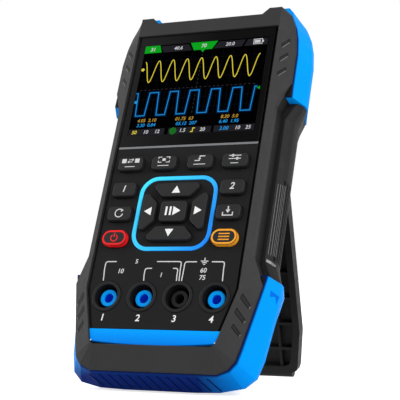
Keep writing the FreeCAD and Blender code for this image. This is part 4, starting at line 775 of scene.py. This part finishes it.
def key_marks():
    """An icon or a plain number on each key, and the coloured rims of two of them."""
    for node, (draw, ink) in KEY_MARKS.items():
        x, z, front = key_face(node)
        drawing = Drawing()
        draw(drawing, x, z)
        drawing.make(f"mark_{node[4:]}", front - PRINT, PRINT, inks_and_painted_light[ink], node)
    for node in ("key_channel_1", "key_channel_2"):
        x, z, front = key_face(node)
        numeral(f"mark_{node[4:]}", node[-1], x, z, 3.0, front - PRINT, inks_and_painted_light["grey"], node, 0.2)
    half_wide, half_tall = KEY_CAP[0] / 2, KEY_CAP[1] / 2
    for node, ink in RIMS.items():
        x, z, front = key_face(node)
        inner = half_tall - RIM_INSET
        line_of(stadium(x, z, half_wide - RIM_INSET, inner, inner - 0.01), RIM_LINE,
                f"rim_{node[4:]}", inks_and_painted_light[ink], node, front - PRINT, 2.0 * PRINT, closed=True)
        line_of(stadium(x, z, half_wide, half_tall, half_tall - 0.02), SIDE_LINE,
                f"side_{node[4:]}", inks_and_painted_light[ink], node, front + SIDE_START, SIDE_DEEP, closed=True)


# ---------------------------------------------------------------- marks in the moulding, with painted shade and highlights

SLOPE_LOW = ((27.0, 16.0), (35.0, 15.4))      # x and z of a strip's lower end, inner and outer edge
SLOPE_HIGH = ((32.9, 38.0), (40.5, 41.3))     # x and z where each edge turns upright
SLOPE_FRONT, SLOPE_BACK = -0.6, 4.3           # depth of the inner edge, how far the strip falls back
MARK_UPPER = [(2.4, 1.2), (5.4, 4.2), (5.6, 2.6), (2.6, -0.6)]      # across the strip, up
MARK_LOWER = [(2.2, 0.0), (2.4, 1.8), (7.3, -2.3), (7.0, -3.6)]
MARK_LAST = [(3.2, 0.0), (3.4, 1.4), (7.4, -2.0), (7.1, -2.9)]
MARK_ROWS = ((MARK_UPPER, 147.1), (MARK_UPPER, 140.3), (MARK_UPPER, 133.3),
             (MARK_LOWER, 34.6), (MARK_LOWER, 28.8), (MARK_LAST, 23.0))
MARK_EDGE = 0.17                              # half the width of the lines round a mark


def on_slope(way, across, z, lift=0.0):
    """A point of the sloped strip, at a distance across it, way -1 left, 1 right."""
    wide = SLOPE_HIGH[1][0] - SLOPE_HIGH[0][0]
    run = math.hypot(wide, SLOPE_BACK)
    share = across / run
    foot = SLOPE_LOW[0][1] + (SLOPE_LOW[1][1] - SLOPE_LOW[0][1]) * share
    head = SLOPE_HIGH[0][1] + (SLOPE_HIGH[1][1] - SLOPE_HIGH[0][1]) * share
    up = min(1.0, (z - foot) / (head - foot))
    inner, outer = (low[0] + (high[0] - low[0]) * up for low, high in zip(SLOPE_LOW, SLOPE_HIGH))
    x = inner + (outer - inner) * share
    return Vector((way * (x + lift * SLOPE_BACK / run), SLOPE_FRONT + SLOPE_BACK * share
                   - lift * wide / run, z))


def slope_line(way, first, second):
    """Outline of a thin line between two places of the strip."""
    (a, za), (b, zb) = first, second
    along = Vector((b - a, zb - za)).normalized() * MARK_EDGE
    return [on_slope(way, a - along.y, za + along.x), on_slope(way, b - along.y, zb + along.x),
            on_slope(way, b + along.y, zb - along.x), on_slope(way, a + along.y, za - along.x)]


def slope_marks():
    """Short slanted marks in the side strips, with a painted shadow round three edges and a painted
    highlight along the fourth.
    """
    for way, side in SIDES:
        wells, shadow_lines, lights = [], [], []
        for shape, base in MARK_ROWS:
            points = [(across, base + up) for across, up in shape]
            wells.append([on_slope(way, *point) for point in points])
            # painted shadow along three edges of each mark
            shadow_lines += [slope_line(way, points[first], points[second])
                      for first, second in ((0, 1), (1, 2), (3, 0))]
            # painted highlight along the fourth edge
            lights.append(slope_line(way, points[2], points[3]))
        normal = on_slope(way, 0.0, 0.0, 1.0) - on_slope(way, 0.0, 0.0)
        prisms(f"strip_marks_{side}", wells, normal * 0.02, finishes["grip"], "case")
        prisms(f"strip_marks_shadow_{side}", shadow_lines, normal * 0.06, inks_and_painted_light["groove"], "case")
        prisms(f"strip_marks_highlight_{side}", lights, normal * 0.06, inks_and_painted_light["ledge"], "case")


BUMPER_FRONT, BUMPER_CROWN = 5.0, 14.0        # depth of the rubber's front edge and of its crown
UNDER_FRONT, UNDER_CROWN = 5.22, 0.85         # height of its underside at those depths
UNDER_FLAT, UNDER_RISE = 15.0, 0.033          # half width of the flat part, slope beyond it
FLANK_FRONT, FLANK_FRONT_Z, FLANK_FRONT_SLOPE = 35.2, 15.5, 0.21
FLANK_CROWN, FLANK_CROWN_Z, FLANK_CROWN_SLOPE = 41.0, 14.6, 0.136
FLANK_TOP = 40.3                              # height where the crown turns in
RIB_COUNT, RIB_START, RIB_PITCH = 13, -28.0, 4.2
RIB_NEAR, RIB_FAR, RIB_LEAN, RIB_WIDE = 6.8, 13.0, 3.9, 0.5


def along_rubber(front, crown, y):
    """Value at a depth on the straight line from the rubber's front edge to its crown."""
    return front + (crown - front) * (y - BUMPER_FRONT) / (BUMPER_CROWN - BUMPER_FRONT)


def under_bumper(x, y):
    """A point of the lower bumper's underside."""
    crown = UNDER_CROWN + max(0.0, abs(x) - UNDER_FLAT) * UNDER_RISE
    return Vector((x, y, along_rubber(UNDER_FRONT, crown, y)))


def on_flank(way, y, z):
    """A point of the lower bumper's side."""
    front = FLANK_FRONT + (z - FLANK_FRONT_Z) * FLANK_FRONT_SLOPE
    crown = FLANK_CROWN + (min(z, FLANK_TOP) - FLANK_CROWN_Z) * FLANK_CROWN_SLOPE
    return Vector((way * along_rubber(front, crown, y), y, z))


def bumper_marks():
    """Diagonal ribs under the front of the lower bumper and a short bent mark on each side, both
    coloured a darker blue as painted shade.
    """
    ribs = []
    for index in range(RIB_COUNT):
        near = RIB_START + index * RIB_PITCH
        far = near + RIB_LEAN
        ribs.append([under_bumper(near, RIB_NEAR), under_bumper(near + RIB_WIDE, RIB_NEAR),
                     under_bumper(far + RIB_WIDE, RIB_FAR), under_bumper(far, RIB_FAR)])
    # painted shade: the ribs stand out a little and are coloured dark blue
    prisms("bumper_ribs", ribs, (0.0, -0.14, -0.2), inks_and_painted_light["rib_shade_blue"], "case")
    for way, side in SIDES:
        start, tip, bend, low, end = (on_flank(way, y, z) for y, z in (
            (8.8, 41.1), (13.4, 40.2), (11.7, 39.6), (9.2, 38.7), (13.0, 37.1)))
        # painted shade: the bent groove is coloured a darker blue
        prisms(f"bumper_groove_{side}", [[start, tip, bend, low], [bend, tip, end]],
               (way * 0.1, -0.06, 0.0), inks_and_painted_light["mid_blue"], "case")


# Outlines in x and z of the covers at the upper and the lower ramp, and their depth.
RAMP_COVERS = ([(38.2, 125.0), (40.7, 125.0), (40.6, 131.0)], [(40.4, 41.3), (40.9, 44.6), (38.9, 45.5)])
COVER_FRONT, COVER_THICK = 4.75, 0.3


def bumper_ends():
    """Thin charcoal covers where the ends of the bumpers meet the ramps of the waist."""
    for way, side in SIDES:
        shapes = [[Vector((way * x, COVER_FRONT, z)) for x, z in points] for points in RAMP_COVERS]
        prisms(f"ramp_cover_{side}", shapes, (0.0, COVER_THICK, 0.0), finishes["shell"], "case")


GRIP_CURVE = ((37.35, 10.6), (39.3, 12.0), (40.6, 14.0))            # x and y round a grip's front
GRIP_RIBS = ((0, 0.3), (0, 0.75), (1, 0.15), (1, 0.45), (1, 0.75))  # stretch of the curve, share of it
GRIP_RIB_LOW, GRIP_RIB_HIGH, GRIP_RIB_SHARE = 57.0, 88.0, 0.1
# Where the bar starts and ends on each stretch, as share of it and height, and how tall it is.
GRIP_BAR = ((0, (0.15, 55.0), (1.0, 54.4)), (1, (0.0, 54.4), (1.0, 53.6)))
GRIP_BAR_TALL = 1.2


def on_grip(way, stretch, share, z):
    """A point of the curve round a grip's front."""
    (x0, y0), (x1, y1) = GRIP_CURVE[stretch:stretch + 2]
    return Vector((way * (x0 + (x1 - x0) * share), y0 + (y1 - y0) * share, z))


def grip_marks():
    """Thin lengthwise ribs round the front of each grip, and a bar across their lower end, both in light
    grey as painted highlights.
    """
    for way, side in SIDES:
        ribs = []
        for n, share in GRIP_RIBS:
            end = share + GRIP_RIB_SHARE
            ribs.append([on_grip(way, n, share, GRIP_RIB_LOW), on_grip(way, n, end, GRIP_RIB_LOW),
                         on_grip(way, n, end, GRIP_RIB_HIGH), on_grip(way, n, share, GRIP_RIB_HIGH)])
        # painted highlight: the rib crests are coloured light grey
        prisms(f"grip_rib_highlights_{side}", ribs, (way * 0.12, -0.1, 0.0), inks_and_painted_light["ledge"], "case")
        bar = [[on_grip(way, n, *start), on_grip(way, n, *end),
                on_grip(way, n, end[0], end[1] - GRIP_BAR_TALL),
                on_grip(way, n, start[0], start[1] - GRIP_BAR_TALL)] for n, start, end in GRIP_BAR]
        # painted highlight: the bar at the lower end of the ribs is coloured light grey
        prisms(f"grip_bar_highlight_{side}", bar, (way * 0.3, -0.2, 0.0), inks_and_painted_light["bar"], "case")


screen()
fascia_print()
key_marks()
slope_marks()
bumper_marks()
bumper_ends()
grip_marks()


# ---------------------------------------------------------------- studio

AZIMUTH = math.radians(23.6)         # the camera stands this far round to the right
LOOK_UP = math.radians(3.12)
DISTANCE = 0.5
TARGET = CASE @ Vector((-2.745, 26.53, 89.33))
SENSOR = 36.0
LENS = 105.14
FLOOR_REACH = 3.0                    # metres from the middle to each edge of the floor


def camera():
    """Long lens to the right of the instrument, looking slightly up."""
    data = bpy.data.cameras.new("camera")
    data.lens = LENS
    data.sensor_width = SENSOR
    eye = bpy.data.objects.new("camera", data)
    bpy.context.scene.collection.objects.link(eye)
    look = Vector((-math.sin(AZIMUTH) * math.cos(LOOK_UP), math.cos(AZIMUTH) * math.cos(LOOK_UP),
                   math.sin(LOOK_UP)))
    eye.location = TARGET - look * DISTANCE
    eye.rotation_euler = look.to_track_quat("-Z", "Y").to_euler()
    bpy.context.scene.camera = eye


def lamp(name, place, size, power, aim=(0.0, 0.0, 0.08)):
    """A square soft light, in metres and watts, turned towards the instrument."""
    data = bpy.data.lights.new(name, "AREA")
    data.shape = "RECTANGLE"
    data.size, data.size_y = size
    data.energy = power
    source = bpy.data.objects.new(name, data)
    bpy.context.scene.collection.objects.link(source)
    source.location = place
    source.rotation_euler = (Vector(aim) - Vector(place)).to_track_quat("-Z", "Y").to_euler()


def white_seen(tree, seen, unseen):
    """A strength of one where a camera, mirror or glass ray looks, and another for plain light."""
    path = tree.nodes.new("ShaderNodeLightPath")
    direct = tree.nodes.new("ShaderNodeMath")
    direct.operation = "MAXIMUM"
    tree.links.new(path.outputs["Is Camera Ray"], direct.inputs[0])
    tree.links.new(path.outputs["Is Glossy Ray"], direct.inputs[1])
    shown = tree.nodes.new("ShaderNodeMath")
    shown.operation = "MAXIMUM"
    tree.links.new(direct.outputs[0], shown.inputs[0])
    tree.links.new(path.outputs["Is Transmission Ray"], shown.inputs[1])
    strength = tree.nodes.new("ShaderNodeMapRange")
    strength.inputs["To Min"].default_value = unseen
    strength.inputs["To Max"].default_value = seen
    tree.links.new(shown.outputs[0], strength.inputs["Value"])
    return strength.outputs["Result"]


def floor_white():
    """White floor that only darkens where a shadow falls."""
    material, tree, principled = shader("floor_white")
    tree.links.new(mix(tree, noise(tree, 40.0), srgb(244, 244, 244), srgb(250, 250, 250)),
                   principled.inputs["Base Color"])
    principled.inputs["Roughness"].default_value = 0.8
    principled.inputs["Specular IOR Level"].default_value = 0.0
    principled.inputs["Emission Color"].default_value = (1.0, 1.0, 1.0, 1.0)
    tree.links.new(white_seen(tree, 0.72, 0.0), principled.inputs["Emission Strength"])
    return material


def studio():
    """White surroundings, a white floor that keeps its shadow, and two soft lamps."""
    world = bpy.data.worlds.new("studio")
    world.use_nodes = True
    bpy.context.scene.world = world
    background = world.node_tree.nodes["Background"]
    background.inputs["Color"].default_value = (1.0, 1.0, 1.0, 1.0)
    world.node_tree.links.new(white_seen(world.node_tree, 1.0, 0.45), background.inputs["Strength"])
    mesh = bpy.data.meshes.new("floor")
    reach = FLOOR_REACH
    mesh.from_pydata([(-reach, -reach, 0.0), (reach, -reach, 0.0), (reach, reach, 0.0),
                      (-reach, reach, 0.0)], [], [(0, 1, 2, 3)])
    floor = bpy.data.objects.new("floor", mesh)
    bpy.context.scene.collection.objects.link(floor)
    mesh.materials.append(floor_white())
    lamp("key", (1.0, -0.55, 0.75), (0.7, 0.7), 12.5)
    lamp("fill_left", (-1.2, -0.35, 0.6), (0.9, 0.9), 8.0)


camera()
studio()
bpy.context.scene.view_settings.view_transform = "Standard"
